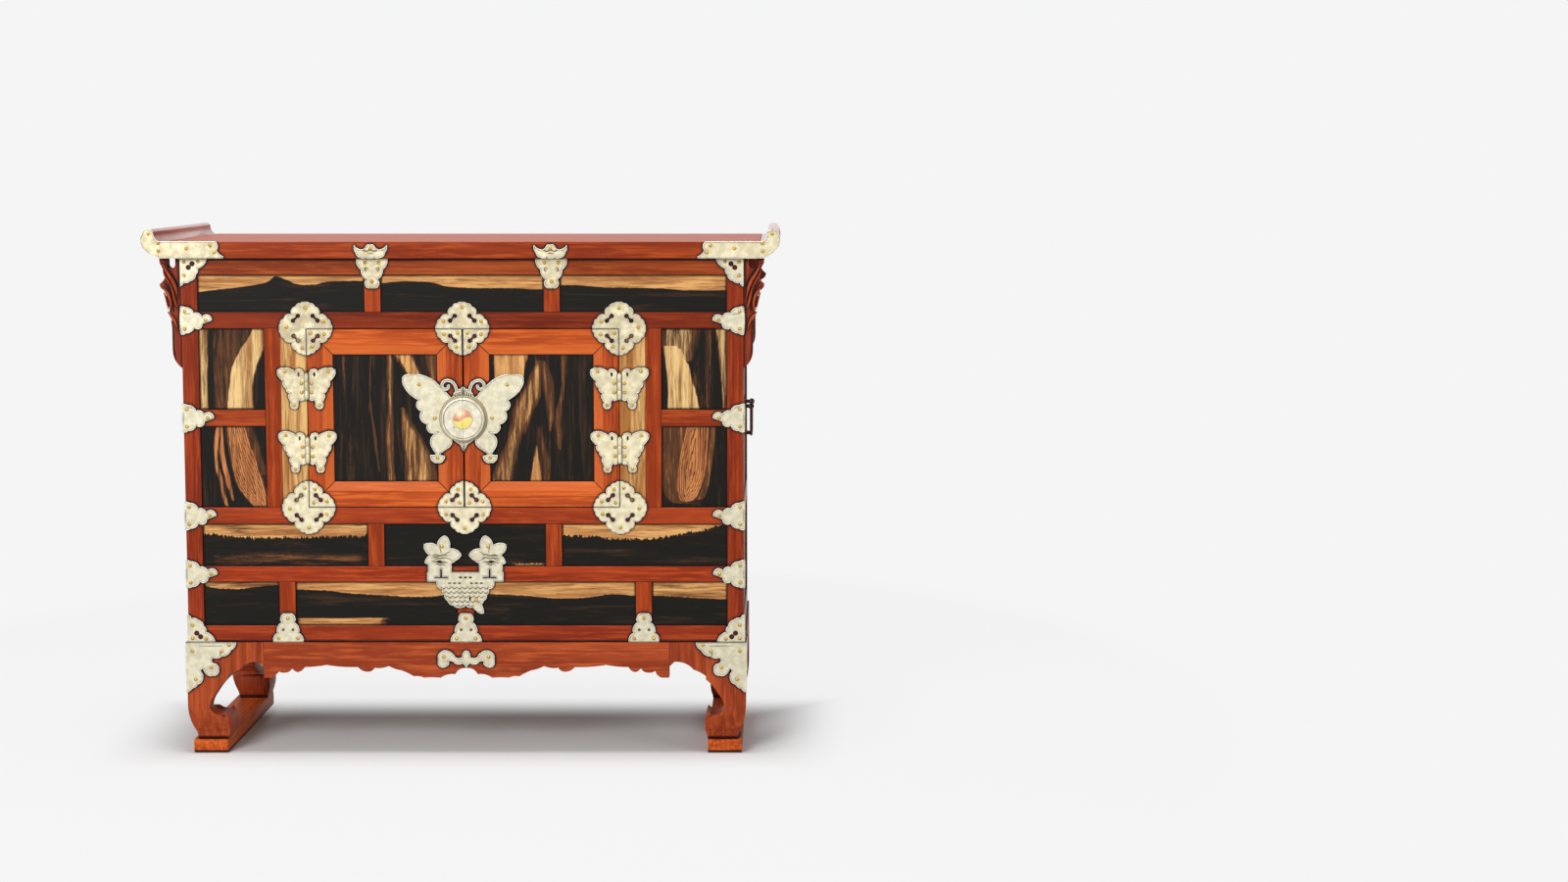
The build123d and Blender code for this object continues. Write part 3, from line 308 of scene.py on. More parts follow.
soften("top_board", 0.0015, 3, red_timber("red_board", "x", tone(162, 64, 24), 1.3))
scroll_red = red_timber("red_scrolls", "y", tone(170, 72, 32), 2.1, polished_top=True)
for hand in ("left", "right"):
    soften("scroll_end_" + hand, 0.0012, 3, scroll_red)
post_red = red_timber("red_posts", "z", tone(150, 54, 22), 3.7)
for node in ("front_posts", "back_posts"):
    soften(node, 0.0012, 2, post_red)
soften("front_uprights", 0.0008, 2, red_timber("red_uprights", "z", tone(168, 66, 24), 4.9))
for node, colour, seed in (("bottom_rail", tone(160, 58, 26), 5.2),
                           ("lower_rail", tone(172, 64, 26), 6.4),
                           ("sill_rail", tone(164, 62, 26), 7.7),
                           ("upper_rail", tone(130, 46, 18), 8.3),
                           ("top_rail", tone(158, 70, 28), 9.1),
                           ("bay_rails", tone(162, 64, 26), 10.6),
                           ("back_rails", tone(150, 60, 28), 11.8)):
    soften(node, 0.0008, 2, red_timber("red_" + node, "x", colour, seed))
soften("side_rails", 0.0012, 2, red_timber("red_side_rails", "y", tone(158, 60, 28), 12.2))


# ---- dark persimmon veneer of the rows ------------------------------------------------------
# Black-hearted persimmon sawn into thin leaves: near-black heart and pale sapwood, with a ragged
# line between them. The sapwood lies along the top of each panel.
heart = tone(20, 18, 14)
heart_brown = tone(66, 44, 29)
sap = tone(226, 172, 106)
sap_brown = tone(158, 98, 54)
umber = tone(96, 58, 34)


def veneer(finish, axis, pale, streaky, light=sap, mellow=sap_brown):
    """Heart, brown and sapwood by a mask from 0 to 1, its edge broken up by streaks along the axis."""
    where = finish.place(scale=along(axis))
    fine = finish.noise(where, 300.0, 4.0, 0.7)
    streak = finish.noise(where, 90.0, 4.0, 0.65, 0.5)
    thread = finish.noise(finish.place(scale=along(axis), shift=(0.31, 0.12, 0.47)), 190.0, 5.0, 0.75)
    shifted = pale + ((thread - 0.5) * 2.0 + (streak - 0.5)) * streaky
    dark = finish.mix(finish.step(streak, 0.50, 0.72) * 0.7, heart, heart_brown)
    dark = finish.mix(finish.step(fine, 0.58, 0.8) * 0.5, dark, tuple(c * 1.4 for c in heart_brown))
    tan = finish.mix(finish.step(streak, 0.30, 0.62), mellow, light)
    tan = finish.mix(finish.step(fine, 0.32, 0.55, (0.75, 0.0)), tan, mellow)
    tan = finish.mix(finish.step(thread, 0.34, 0.46, (0.55, 0.0)), tan, umber)
    brown = finish.mix(finish.step(fine, 0.35, 0.62), heart_brown, umber)
    brown = finish.mix(finish.step(thread, 0.52, 0.70) * 0.6, brown, sap_brown)
    colour = finish.mix(finish.step(shifted, 0.14, 0.42), dark, brown)
    colour = finish.mix(finish.step(shifted, 0.50, 0.80), colour, tan)
    # painted shade: near-black right beside other pieces
    colour = finish.mix(1.0 - contact_shade(finish, 0.004, 0.10), colour, (0.004, 0.003, 0.003))
    return finish.set(Base_Color=colour, Roughness=0.34 + 0.14 * streak, IOR=lacquer_gloss,
                      Normal=finish.bump(fine, 0.10, 0.0004))


# each row ends this far from the middle, and the panel beside a door is this wide
row_end = 0.415
bay_wide = 0.1035


def edge_line(finish, across, bends, low, high):
    """A given line: its height for each place across from low to high, all in metres."""
    spread = (across - low) * (1.0 / (high - low))
    top, base = max(h for _, h in bends), min(h for _, h in bends)
    shares = [((place - low) / (high - low), (height - base) / (top - base)) for place, height in bends]
    line = finish.node("ShaderNodeFloatCurve", {"bends": shares}, {"Value": spread})
    return line * (top - base) + base


def row_veneer(name, bends, ragged, patches=(), dull=(), teeth=130.0, streaky=0.35):
    """Sapwood above a line along the row, duller between some places, with pale patches below it."""
    leaf = Finish(name)
    x, _, z = leaf.axes()
    line = edge_line(leaf, x, bends, -row_end, row_end)
    wobble = (leaf.noise(leaf.place(scale=(1.0, 1.0, 0.25)), teeth, 4.0, 0.65) - 0.5) * ragged
    pale = leaf.step(z + wobble - line, -0.0008, 0.0010)
    for left, right, strength in dull:
        inside = leaf.step(x, left - 0.001, left + 0.001) * leaf.step(x, right + 0.001, right - 0.001)
        pale = pale * (1.0 - inside * (1.0 - strength))
    for left, right, top, strength in patches:
        inside = leaf.step(x, left - 0.01, left + 0.01) * leaf.step(x, right + 0.012, right - 0.012)
        pale = pale.over(inside * leaf.step(z + wobble * 0.4, top, top - 0.003) * strength)
    return veneer(leaf, "x", pale, streaky)


upper_line = [(-row_end, 0.7351), (-0.384, 0.7394), (-0.3556, 0.7423), (-0.327, 0.7466),
              (-0.310, 0.7496), (-0.2985, 0.7562), (-0.2915, 0.7600), (-0.2845, 0.7580),
              (-0.270, 0.7530), (-0.2457, 0.7470), (-0.220, 0.7500), (-0.198, 0.7525),
              (-0.156, 0.7530), (-0.127, 0.7500), (-0.091, 0.7525), (-0.062, 0.7520),
              (-0.020, 0.7440), (0.027, 0.7418), (0.075, 0.7418), (0.122, 0.7395),
              (0.158, 0.7465), (0.229, 0.7430), (0.300, 0.7416), (0.372, 0.7380),
              (row_end, 0.7390)]
soften("upper_row_panels", 0.0003, 1, row_veneer("upper_veneer", upper_line, 0.0025))

# the lines of the two lower rows are heights over the lower edges of their panels
middle_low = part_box("middle_row_panels")[0].z
middle_line = [(-row_end, 0.052), (-0.36, 0.047), (-0.30, 0.045), (-0.22, 0.047), (-0.16, 0.048),
               (-0.141, 0.10), (0.0, 0.10), (0.141, 0.10), (0.155, 0.049), (0.21, 0.047),
               (0.24, 0.043), (0.29, 0.044), (0.34, 0.051), (0.39, 0.061), (row_end, 0.068)]
middle_patches = [(0.075, 0.128, middle_low + 0.006, 0.8), (-0.40, -0.16, middle_low + 0.020, 0.22)]
middle_dull = [(-0.42, -0.14, 0.80), (0.14, 0.42, 0.92)]
soften("middle_row_panels", 0.0003, 1,
       row_veneer("middle_veneer", [(x, middle_low + z) for x, z in middle_line], 0.020,
                  middle_patches, middle_dull, teeth=380.0, streaky=0.55))
lower_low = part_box("lower_row_panels")[0].z
lower_line = [(-row_end, 0.066), (-0.37, 0.058), (-0.33, 0.062), (-0.297, 0.064), (-0.268, 0.0575),
              (-0.23, 0.056), (-0.18, 0.051), (-0.12, 0.0475), (-0.07, 0.0455), (-0.03, 0.049),
              (0.0, 0.05), (0.05, 0.0495), (0.11, 0.046), (0.16, 0.043), (0.21, 0.047),
              (0.24, 0.050), (0.268, 0.047), (0.30, 0.047), (0.36, 0.044), (row_end, 0.041)]
lower_patches = [(-0.27, -0.13, lower_low + 0.013, 0.85)]
lower_dull = [(-0.42, -0.2825, 0.66), (0.2825, 0.42, 0.74)]
soften("lower_row_panels", 0.0003, 1,
       row_veneer("lower_veneer", [(x, lower_low + z) for x, z in lower_line], 0.004,
                  lower_patches, lower_dull, teeth=190.0, streaky=0.45))


# ---- flamed veneer beside and in the doors --------------------------------------------------
# The same wood with its grain upright, cut where the sapwood licks up into the heart. The leaves of
# a pair are opened like a book, so that the flames answer each other about the middle.
def upright_veneer(name, tongues, split=None):
    """Tongues of paler wood, each with its middle and half width at some heights, softness and strength.

    A tongue may also have a ring gap, the distance between the growth rings that follow its outline.
    Below the height split, where one is given, the pale wood is a redder brown.
    """
    leaf = Finish(name)
    x, _, z = leaf.axes()
    sway = (leaf.noise(leaf.place(scale=(1.0, 1.0, 0.12)), 55.0, 5.0, 0.6) - 0.5) * 0.016
    pale = None
    for bends, soft, strength, ring_gap in tongues:
        low, high = bends[0][0], bends[-1][0]
        centre = edge_line(leaf, z, [(h, c) for h, c, _ in bends], low, high)
        half = edge_line(leaf, z, [(h, w) for h, _, w in bends], low, high)
        depth = half - abs(x + sway - centre)
        one = leaf.step(depth, -soft, soft) * strength
        if ring_gap:
            rings = (depth * (math.tau / ring_gap) + sway * 300.0).sine()
            one = one * (1.0 - leaf.step(rings, 0.1, 0.9) * 0.55)
        one = one * leaf.step(z, low - 0.001, low) * leaf.step(z, high + 0.001, high)
        pale = one if pale is None else pale.over(one)
    if split is None:
        return veneer(leaf, "z", pale, 0.5)
    under = leaf.step(z, split + 0.01, split - 0.01)
    return veneer(leaf, "z", pale, 0.5, leaf.mix(under, tone(232, 196, 134), tone(208, 136, 80)),
                  leaf.mix(under, tone(166, 116, 66), tone(146, 82, 46)))


def tongue(area, bends, soft, strength, ring_gap=0.0):
    """A tongue given by shares of a panel's width from its left and of its height from its top."""
    left, wide, top, high = area
    placed = [(top - down * high, left + middle * wide, half * wide) for down, middle, half in bends]
    return sorted(placed), soft, strength, ring_gap


bay_low, bay_high = (corner.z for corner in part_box("side_bay_panels"))
rail_low, rail_high = (corner.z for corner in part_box("bay_rails"))
left_top = (-row_end, bay_wide, bay_high, bay_high - rail_high)
left_bottom = (-row_end, bay_wide, rail_low, rail_low - bay_low)
right_top = (row_end - bay_wide, bay_wide, bay_high, bay_high - rail_high)
right_bottom = (row_end - bay_wide, bay_wide, rail_low, rail_low - bay_low)
bay_tongues = [
    tongue(left_top, [(0, 0.05, 0.10), (0.3, 0.05, 0.10), (0.7, 0.04, 0.08), (1, 0.05, 0.09)],
           0.002, 0.72),
    tongue(left_top, [(0, 0.62, 0.34), (0.25, 0.48, 0.24), (0.5, 0.36, 0.14), (1, 0.32, 0.10)],
           0.008, 0.36),
    tongue(left_top, [(0, 0.95, 0.10), (0.12, 0.90, 0.14), (0.3, 0.78, 0.17), (0.5, 0.68, 0.18),
                      (0.75, 0.63, 0.18), (1, 0.62, 0.19)], 0.003, 1.08),
    tongue(left_bottom, [(0, 0.27, 0.025), (0.4, 0.24, 0.025), (0.7, 0.29, 0.025), (1, 0.37, 0.02)],
           0.0012, 0.7),
    tongue(left_bottom, [(0, 0.325, 0.02), (0.35, 0.315, 0.03), (0.65, 0.39, 0.04), (0.92, 0.47, 0.01)],
           0.0012, 0.72),
    tongue(left_bottom, [(0, 0.53, 0.15), (0.3, 0.60, 0.19), (0.6, 0.70, 0.21), (0.82, 0.80, 0.19),
                         (1, 0.92, 0.10)], 0.003, 0.95, 0.0036),
    tongue(left_bottom, [(0, 0.74, 0.08), (0.3, 0.84, 0.08), (0.6, 0.96, 0.06)], 0.006, 0.35),
    tongue(right_top, [(0, 0.30, 0.26), (0.2, 0.28, 0.26), (0.4, 0.28, 0.20)], 0.008, 0.56),
    tongue(right_top, [(0.22, 0.14, 0.10), (0.4, 0.22, 0.17), (0.6, 0.28, 0.19), (1, 0.34, 0.24)],
           0.003, 1.08),
    tongue(right_top, [(0, 0.62, 0.22), (0.5, 0.62, 0.16), (1, 0.70, 0.12)], 0.008, 0.20),
    tongue(right_top, [(0, 0.96, 0.12), (0.5, 0.97, 0.08), (1, 0.98, 0.06)], 0.002, 0.68),
    tongue(right_bottom, [(0, 0.20, 0.20), (0.4, 0.17, 0.18), (0.7, 0.18, 0.16), (0.95, 0.32, 0.12)],
           0.003, 0.50),
    tongue(right_bottom, [(0, 0.78, 0.04), (0.4, 0.74, 0.05), (0.7, 0.68, 0.05), (0.9, 0.58, 0.05)],
           0.0015, 0.58),
    tongue(right_bottom, [(0, 0.54, 0.16), (0.3, 0.49, 0.20), (0.6, 0.44, 0.22), (0.8, 0.39, 0.18),
                          (0.93, 0.36, 0.03)], 0.002, 0.98, 0.0036)]
soften("side_bay_panels", 0.0003, 1, upright_veneer("bay_veneer", bay_tongues, (rail_low + rail_high) / 2))

leaves = {}
for hand in ("left", "right"):
    low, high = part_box(hand + "_door_panel")
    leaves[hand] = (low.x, high.x - low.x, high.z, high.z - low.z)
door_tongues = {
    "left": [
        ([(0, 0.36, 0.010), (0.3, 0.345, 0.012), (0.55, 0.38, 0.013), (0.92, 0.42, 0.008)], 0.002, 0.46),
        ([(0, 0.535, 0.025), (0.3, 0.55, 0.035), (0.5, 0.54, 0.030), (1, 0.555, 0.035)], 0.004, 0.54),
        ([(0, 0.675, 0.085), (0.10, 0.74, 0.07), (0.22, 0.83, 0.05)], 0.005, 0.74),
        ([(0, 0.95, 0.06), (0.2, 0.98, 0.05), (0.3, 1.0, 0.04)], 0.003, 0.50),
        ([(0.42, 0.66, 0.02), (0.6, 0.72, 0.07), (0.8, 0.80, 0.13), (1, 0.83, 0.16)], 0.007, 0.58),
        ([(0, 0.10, 0.05), (0.5, 0.13, 0.07), (1, 0.12, 0.05)], 0.008, 0.14)],
    "right": [
        ([(0, 0.21, 0.17), (0.12, 0.19, 0.15), (0.3, 0.16, 0.12)], 0.0025, 1.0),
        ([(0.05, 0.48, 0.01), (0.2, 0.44, 0.06), (0.4, 0.35, 0.10), (0.6, 0.26, 0.07),
          (0.8, 0.17, 0.08), (1, 0.10, 0.10)], 0.007, 0.60),
        ([(0.05, 0.50, 0.01), (0.25, 0.56, 0.06), (0.4, 0.58, 0.05), (0.6, 0.58, 0.01)], 0.006, 0.44),
        ([(0.72, 0.45, 0.01), (0.88, 0.44, 0.04), (1, 0.43, 0.06)], 0.0025, 0.85),
        ([(0.55, 0.46, 0.02), (0.8, 0.50, 0.07), (1, 0.52, 0.06)], 0.008, 0.32),
        ([(0, 0.725, 0.022), (0.25, 0.715, 0.015), (0.5, 0.675, 0.024), (0.75, 0.68, 0.004)],
         0.003, 0.52)]}
for hand in ("left", "right"):
    flames = [tongue(leaves[hand], *flame) for flame in door_tongues[hand]]
    soften(hand + "_door_panel", 0.0003, 1, upright_veneer(hand + "_door_veneer", flames))


# ---- pale persimmon strips ------------------------------------------------------------------
# Plain sapwood fills the space between the doors and their stiles. It has brown upright streaks, and
# painted shade darkens it only where it meets the frame.
strip = Finish("pale_persimmon_strip")
where = strip.place(scale=along("z"))
cloud = strip.noise(where, 60.0, 4.0, 0.6, 0.8)
thread = strip.noise(where, 240.0, 4.0, 0.65)
colour = strip.mix(strip.step(cloud, 0.40, 0.62), tone(168, 110, 56), tone(222, 180, 116))
colour = strip.mix(strip.step(thread, 0.47, 0.66) * 0.8, colour, tone(136, 80, 38))
# painted shade beside the frame and the plates
colour = strip.mix(1.0 - contact_shade(strip, 0.004, 0.2), colour, (0.02, 0.01, 0.006))
soften("pale_strips", 0.0004, 1,
       strip.set(Base_Color=colour, Roughness=0.38 + 0.1 * cloud, IOR=lacquer_gloss,
                 Normal=strip.bump(thread, 0.12, 0.0004)))


# ---- plain wood of the sides, back and floor ------------------------------------------------
# Paulownia boards stained brown, with a broad open grain. The floor and the blocks of the door catches
# are paler than the sides, which have darkened in the light.
def plain_board(name, axis, middle):
    """A stained board about its middle tone, its grain along an axis."""
    board = Finish(name)
    where = board.place(scale=along(axis))
    wide = board.noise(where, 26.0, 3.0, 0.5, 1.2)
    fine = board.noise(where, 160.0, 4.0, 0.6)
    colour = board.mix(board.step(wide, 0.35, 0.68), tuple(c * 0.55 for c in middle), middle)
    colour = board.mix(board.step(fine, 0.52, 0.75) * 0.6, colour, tuple(c * 0.45 for c in middle))
    return board.set(Base_Color=colour, Roughness=0.45 + 0.1 * wide, IOR=lacquer_gloss,
                     Normal=board.bump(fine, 0.2, 0.0005))


soften("side_panels", 0.0004, 1, plain_board("side_boards", "z", tone(110, 70, 42)))
soften("back_panels", 0.0004, 1, plain_board("back_boards", "z", tone(140, 100, 66)))
soften("floor_board", 0.0006, 1, plain_board("floor_boards", "x", tone(176, 138, 98)))
soften("door_catches", 0.0008, 2, plain_board("catch_blocks", "z", tone(176, 138, 98)))


# ---- stand ----------------------------------------------------------------------------------
# Scroll-footed legs cut from thick boards, aprons with a cusped lower edge, and two long runners. The
# lacquer here is more worn than on the frame, and the runners are the brightest and most rounded.
for node, axis, colour, seed, round_off in (("front_legs", "z", tone(166, 70, 34), 21.0, 0.0015),
                                            ("back_legs", "z", tone(150, 58, 28), 22.0, 0.0015),
                                            ("front_apron", "x", tone(176, 76, 38), 23.0, 0.0015),
                                            ("back_apron", "x", tone(160, 66, 32), 24.0, 0.0015),
                                            ("side_aprons", "y", tone(168, 70, 34), 25.0, 0.0015),
                                            ("runners", "y", tone(206, 92, 34), 26.0, 0.0022)):
    soften(node, round_off, 3, red_timber("red_" + node, axis, colour, seed, rough=0.42))


# ---- doors ----------------------------------------------------------------------------------
# Each door is a frame mitred at its corners, with a sloping inner edge painted lighter as a painted
# highlight.
# The grain turns with the timbers, and the mitre is where the distances to the two edges are the same.
inner_slope = 0.0250


def door_timber(name, middle_x, middle_z, half_wide, half_high):
    """The frame of one door, upright grain in its stiles and level grain in its rails."""
    wood = Finish(name)
    x, _, z = wood.axes()
    beside = half_wide - abs(x - middle_x)
    above = half_high - abs(z - middle_z)
    stile = wood.step(above - beside, -0.0003, 0.0003)
    upright, wide, upright_grain = timber_colour(wood, "z", tone(180, 76, 32), 31.0)
    level, _, level_grain = timber_colour(wood, "x", tone(202, 90, 36), 33.0)
    colour = wood.mix(stile, level, upright)
    # painted highlight: the sloping inner edge is painted a lighter orange
    slope_highlight = wood.step(beside.under(above), inner_slope, inner_slope + 0.0008)
    colour = wood.mix(slope_highlight * 0.45, colour, tone(226, 116, 54))
    # painted shade: the timber goes to a dark tone right beside other pieces
    colour = wood.mix(1.0 - contact_shade(wood), colour, timber_contact_shade)
    grain = upright_grain * stile + level_grain * (1.0 - stile)
    return wood.set(Base_Color=colour, Roughness=0.30 + 0.16 * wide, IOR=lacquer_gloss,
                    Normal=wood.bump(grain, 0.18, 0.0006))


for hand in ("left", "right"):
    low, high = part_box(hand + "_door_frame")
    middle, half = (low + high) / 2, (high - low) / 2
    soften(hand + "_door_frame", 0.0007, 2,
           door_timber(hand + "_door_wood", middle.x, middle.z, half.x, half.z))


# ---- nickel silver fittings -----------------------------------------------------------------
# Thin plates sawn from nickel silver sheet, with a raised filed rim painted paler as a painted highlight,
# rubbed to a warm dull shine.
# Each lies on the wood and is held by small brass nails. Some carry painted shade and painted reflections:
# grey patches, most high up and on the left.
# the dark tone of painted shade on metal right beside other pieces and round the nails
metal_contact_shade = tone(60, 46, 28)


def nickel_finish(name, dark, light, haze_size=90.0, metal=0.5, reflection_shade=False):
    """Soft patches between two tones. A finish with painted reflections is greyest in patches high up and
    on the left.
    """
    nickel = Finish(name)
    haze = nickel.noise(nickel.place(), haze_size, 4.0, 0.6)
    brushed = nickel.noise(nickel.place(scale=(1.0, 1.0, 0.25), turn=(0, 0.5, 0)), 900.0, 3.0, 0.6)
    spots = nickel.noise(nickel.place(), 420.0, 3.0, 0.7)
    colour = nickel.mix(nickel.step(haze, 0.35, 0.65), dark, light)
    colour = nickel.mix(nickel.step(spots, 0.60, 0.80) * 0.2, colour, tone(176, 164, 134))
    if reflection_shade:
        x, _, z = nickel.axes()
        # painted reflection and shade: grey patches, stronger higher up and towards the left
        dull = nickel.step(z, 0.46, 0.68) * 0.30 - nickel.step(z, 0.77, 0.79) * 0.10 - x * 0.18
        patchy = nickel.noise(nickel.place(shift=(0.3, 0.0, 0.1)), 60.0, 4.0, 0.6)
        colour = nickel.mix(dull * nickel.step(patchy, 0.36, 0.60, (0.2, 1.9)), colour, tone(148, 134, 100))
    # painted shade: darker right beside nails and other pieces
    colour = nickel.mix(1.0 - contact_shade(nickel, 0.0020, 0.25), colour, metal_contact_shade)
    return nickel.set(Base_Color=colour, Metallic=metal, Roughness=0.34 + 0.18 * haze,
                      Normal=nickel.bump(brushed * 0.3 + spots, 0.10, 0.0003))


nickel_silver = nickel_finish("nickel_silver", tone(200, 192, 164), tone(220, 213, 187))
nickel_shaded = nickel_finish("nickel_silver_shaded", tone(210, 198, 162), tone(232, 223, 190), reflection_shade=True)
# painted highlight: the beads and raised ribs have a paler tone than the plates
rim_highlight = nickel_finish("nickel_silver_rim_highlight", tone(240, 236, 216), tone(252, 250, 238), 200.0, 0.35)

# how far out the posts' own sides are, how far a bead stays from a hinge axis, and the least width of
# an opening that has a bead
post_side = 0.4409
knuckle_room = 0.0055
smallest_opening = 0.0125


def raised_rim(node, body, plate=nickel_shaded, radius=0.0007, axis=None):
    """A thin bead, pale as a painted highlight, round a plate's face and its larger openings, left off
    beside a hinge axis.
    """
    soften(node, 0.0003, 2, plate)
    bead = bpy.data.objects.new(node + "_rim", nodes[node].data.copy())
    bpy.context.scene.collection.objects.link(bead)
    bpy.ops.object.select_all(action="DESELECT")
    bpy.context.view_layer.objects.active = bead
    bead.select_set(True)
    bead.data.materials.clear()
    bpy.ops.object.mode_set(mode="EDIT")
    bpy.ops.mesh.select_all(action="SELECT")
    bpy.ops.mesh.remove_doubles(threshold=0.00001)
    bpy.ops.mesh.select_all(action="DESELECT")
    bpy.ops.mesh.select_mode(type="FACE")
    bpy.ops.object.mode_set(mode="OBJECT")

    # only the outlines of the faces in front, and of those folded onto the posts' sides, are kept
    for face in bead.data.polygons:
        on_front = face.normal.y < -0.99
        on_side = abs(face.normal.x) > 0.99 and abs(face.center.x) > post_side
        face.select = on_front or on_side
    bpy.ops.object.mode_set(mode="EDIT")
    bpy.ops.mesh.region_to_loop()
    bpy.ops.mesh.select_all(action="INVERT")
    bpy.ops.mesh.delete(type="EDGE")
    bpy.ops.mesh.select_all(action="SELECT")
    bpy.ops.mesh.delete(type="ONLY_FACE")

    # no bead runs where the knuckles turn
    bpy.ops.mesh.select_all(action="DESELECT")
    bpy.ops.mesh.select_mode(type="VERT")
    bpy.ops.object.mode_set(mode="OBJECT")
    for point in bead.data.vertices:
        point.select = axis is not None and abs(abs(point.co.x) - axis) < knuckle_room
    bpy.ops.object.mode_set(mode="EDIT")
    bpy.ops.mesh.delete(type="VERT")

    # nail holes and other small openings have none either
    bpy.ops.mesh.separate(type="LOOSE")
    bpy.ops.object.mode_set(mode="OBJECT")
    bpy.context.view_layer.update()
    outlines = list(bpy.context.selected_objects)
    kept = [line for line in outlines if max(line.dimensions) > smallest_opening]
    for line in outlines:
        line.select_set(line not in kept)
    bpy.ops.object.delete()
    for line in kept:
        line.select_set(True)
    bpy.context.view_layer.objects.active = kept[0]
    bpy.ops.object.join()

    # the outlines become round wire, held inside the plate's own width and height
    bpy.ops.object.convert(target="CURVE")
    bead = bpy.context.object
    bead.name = node + "_rim"
    bead.data.bevel_depth = radius
    bead.data.bevel_resolution = 1
    bpy.ops.object.convert(target="MESH")
    bead = bpy.context.object
    bead.data.materials.clear()
    # the bead takes the painted highlight
    bead.data.materials.append(rim_highlight)
    low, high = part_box(node)
    for point in bead.data.vertices:
        point.co.x = min(max(point.co.x, low.x), high.x)
        point.co.z = min(max(point.co.z, low.z), high.z)
    bpy.ops.object.shade_smooth()
    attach(bead, body)


hinge_axis = max(abs(joint["pos_m"][0]) for joint in frame["joints"] if "door" in joint["name"])
for node in ("junction_plates", "corner_plates", "leg_plates", "base_plates", "apron_ornament",
             "basket_plate"):
    raised_rim(node, "carcass", nickel_silver)
raised_rim("frame_lobed_plates", "carcass", radius=0.0004)
for node in ("top_end_plates", "cloud_plates", "drop_plates"):
    raised_rim(node, "carcass")
raised_rim("frame_hinge_wings", "carcass", axis=hinge_axis)
for hand in ("left", "right"):
    raised_rim(hand + "_door_plates", hand + "_door", radius=0.0004)
    raised_rim(hand + "_hinge_wings", hand + "_door", axis=hinge_axis)
soften("hinge_pins", 0.0003, 2, nickel_silver)


# ---- chased lines of the plates -------------------------------------------------------------
# Fine lines are cut with a graver and filled with dark wax: petals, leaves and wickerwork on the
# basket, scrolls on the drops and clouds, lines on the posts and legs, dimples in the base plates.
def stroke(depth, *places):
    """A stroke on an upright face: places across and up and the half width there, in millimetres."""
    return [(x, depth, z, radius) for x, z, radius in places]


def wires(name, body, lines, material):
    """Smooth tapering strokes, half sunk in the face that they are drawn on."""
    path = bpy.data.curves.new(name, "CURVE")
    path.dimensions = "3D"
    path.bevel_depth = 0.001
    path.bevel_resolution = 2
    path.resolution_u = 5
    path.use_fill_caps = True
    for line in lines:
        spline = path.splines.new("NURBS")
        spline.points.add(len(line) - 1)
        for point, (x, y, z, radius) in zip(spline.points, line):
            point.co = (x / 1000, y / 1000, z / 1000, 1.0)
            point.radius = radius
        spline.order_u = 3
        spline.use_endpoint_u = True
    piece = bpy.data.objects.new(name, path)
    bpy.context.scene.collection.objects.link(piece)
    bpy.ops.object.select_all(action="DESELECT")
    bpy.context.view_layer.objects.active = piece
    piece.select_set(True)
    bpy.ops.object.convert(target="MESH")
    piece = bpy.context.object
    piece.data.materials.clear()
    piece.data.materials.append(material)
    bpy.ops.object.shade_smooth()
    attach(piece, body)


wax = nickel_finish("dark_wax", tone(74, 62, 40), tone(112, 98, 66), 300.0, 0.3)
plate_face, leg_face, cloud_face, wing_face = -200.5, -203.5, -213.5, -197.0
marks = []

# two flowers of five petals over the rim of the basket, with four leaves to each
flower_x, flower_z = 36.7, 318.0
leaf_x, leaf_z = 40.0, 316.0
for way in (-1, 1):
    for turn, length in ((80, 21), (151, 17), (0, 17), (205, 19), (335, 19)):
        angle = math.radians(turn if way > 0 else 180 - turn)
        x, across, up = way * flower_x, math.cos(angle), math.sin(angle)
        bent_across, bent_up = math.cos(angle + 0.12) * length * 0.6, math.sin(angle + 0.12) * length * 0.6
        marks.append(stroke(plate_face, (x + across * 5, flower_z + up * 5, 0.3),
                            (x + bent_across, flower_z + bent_up, 0.5),
                            (x + across * length, flower_z + up * length, 0.1)))
    for rise, reach, thick in ((3.0, 13.0, 0.7), (-1.5, 15.0, 0.5), (-8.5, 13.0, 0.8), (-12.0, 9.0, 0.5)):
        x, z = way * leaf_x, leaf_z + rise
        marks.append(stroke(plate_face, (x - reach, z, 0.15), (x - reach * 0.5, z + 2.6, thick),
                            (x, z - 1.4, thick), (x + reach * 0.5, z + 2.4, thick),
                            (x + reach, z - 1.0, 0.15)))

# five rows of wicker that narrow to the foot of the basket, every other row half a strand over
wicker_top, row_drop, strand = 269.0, 7.2, 8.4
for row, half in enumerate((46, 42, 36, 29, 19)):
    z = wicker_top - row * row_drop
    for n in range(int(half * 2 / strand)):
        x = -half + strand * (n + 0.5 + 0.5 * (row % 2)) - 1.5
        marks.append(stroke(plate_face, (x - strand / 2, z, 0.2), (x - 1.5, z - 3.4, 0.5),
                            (x + 2.0, z - 3.2, 0.5), (x + 4.0, z + 0.6, 0.2)))

# curls on the two drops, and a waving line with a short arc below it on the clouds above them
for x in (-140.5, 140.5):
    for way in (-1, 1):
        marks.append(stroke(plate_face, (x + way * 5, 771.5, 0.2), (x + way * 9, 775.0, 0.5),
                            (x + way * 12, 771.0, 0.6), (x + way * 8.5, 768.0, 0.4),
                            (x + way * 7.5, 771.0, 0.2)))
    marks.append(stroke(cloud_face, (x - 20, 801, 0.2), (x - 13, 804.5, 0.6), (x - 7, 799, 0.7),
                        (x, 803, 0.5), (x + 7, 799, 0.7), (x + 13, 804.5, 0.6), (x + 20, 801, 0.2)))
    marks.append(stroke(cloud_face, (x - 5, 796.0, 0.2), (x, 798.6, 0.6), (x + 5, 796.0, 0.2)))

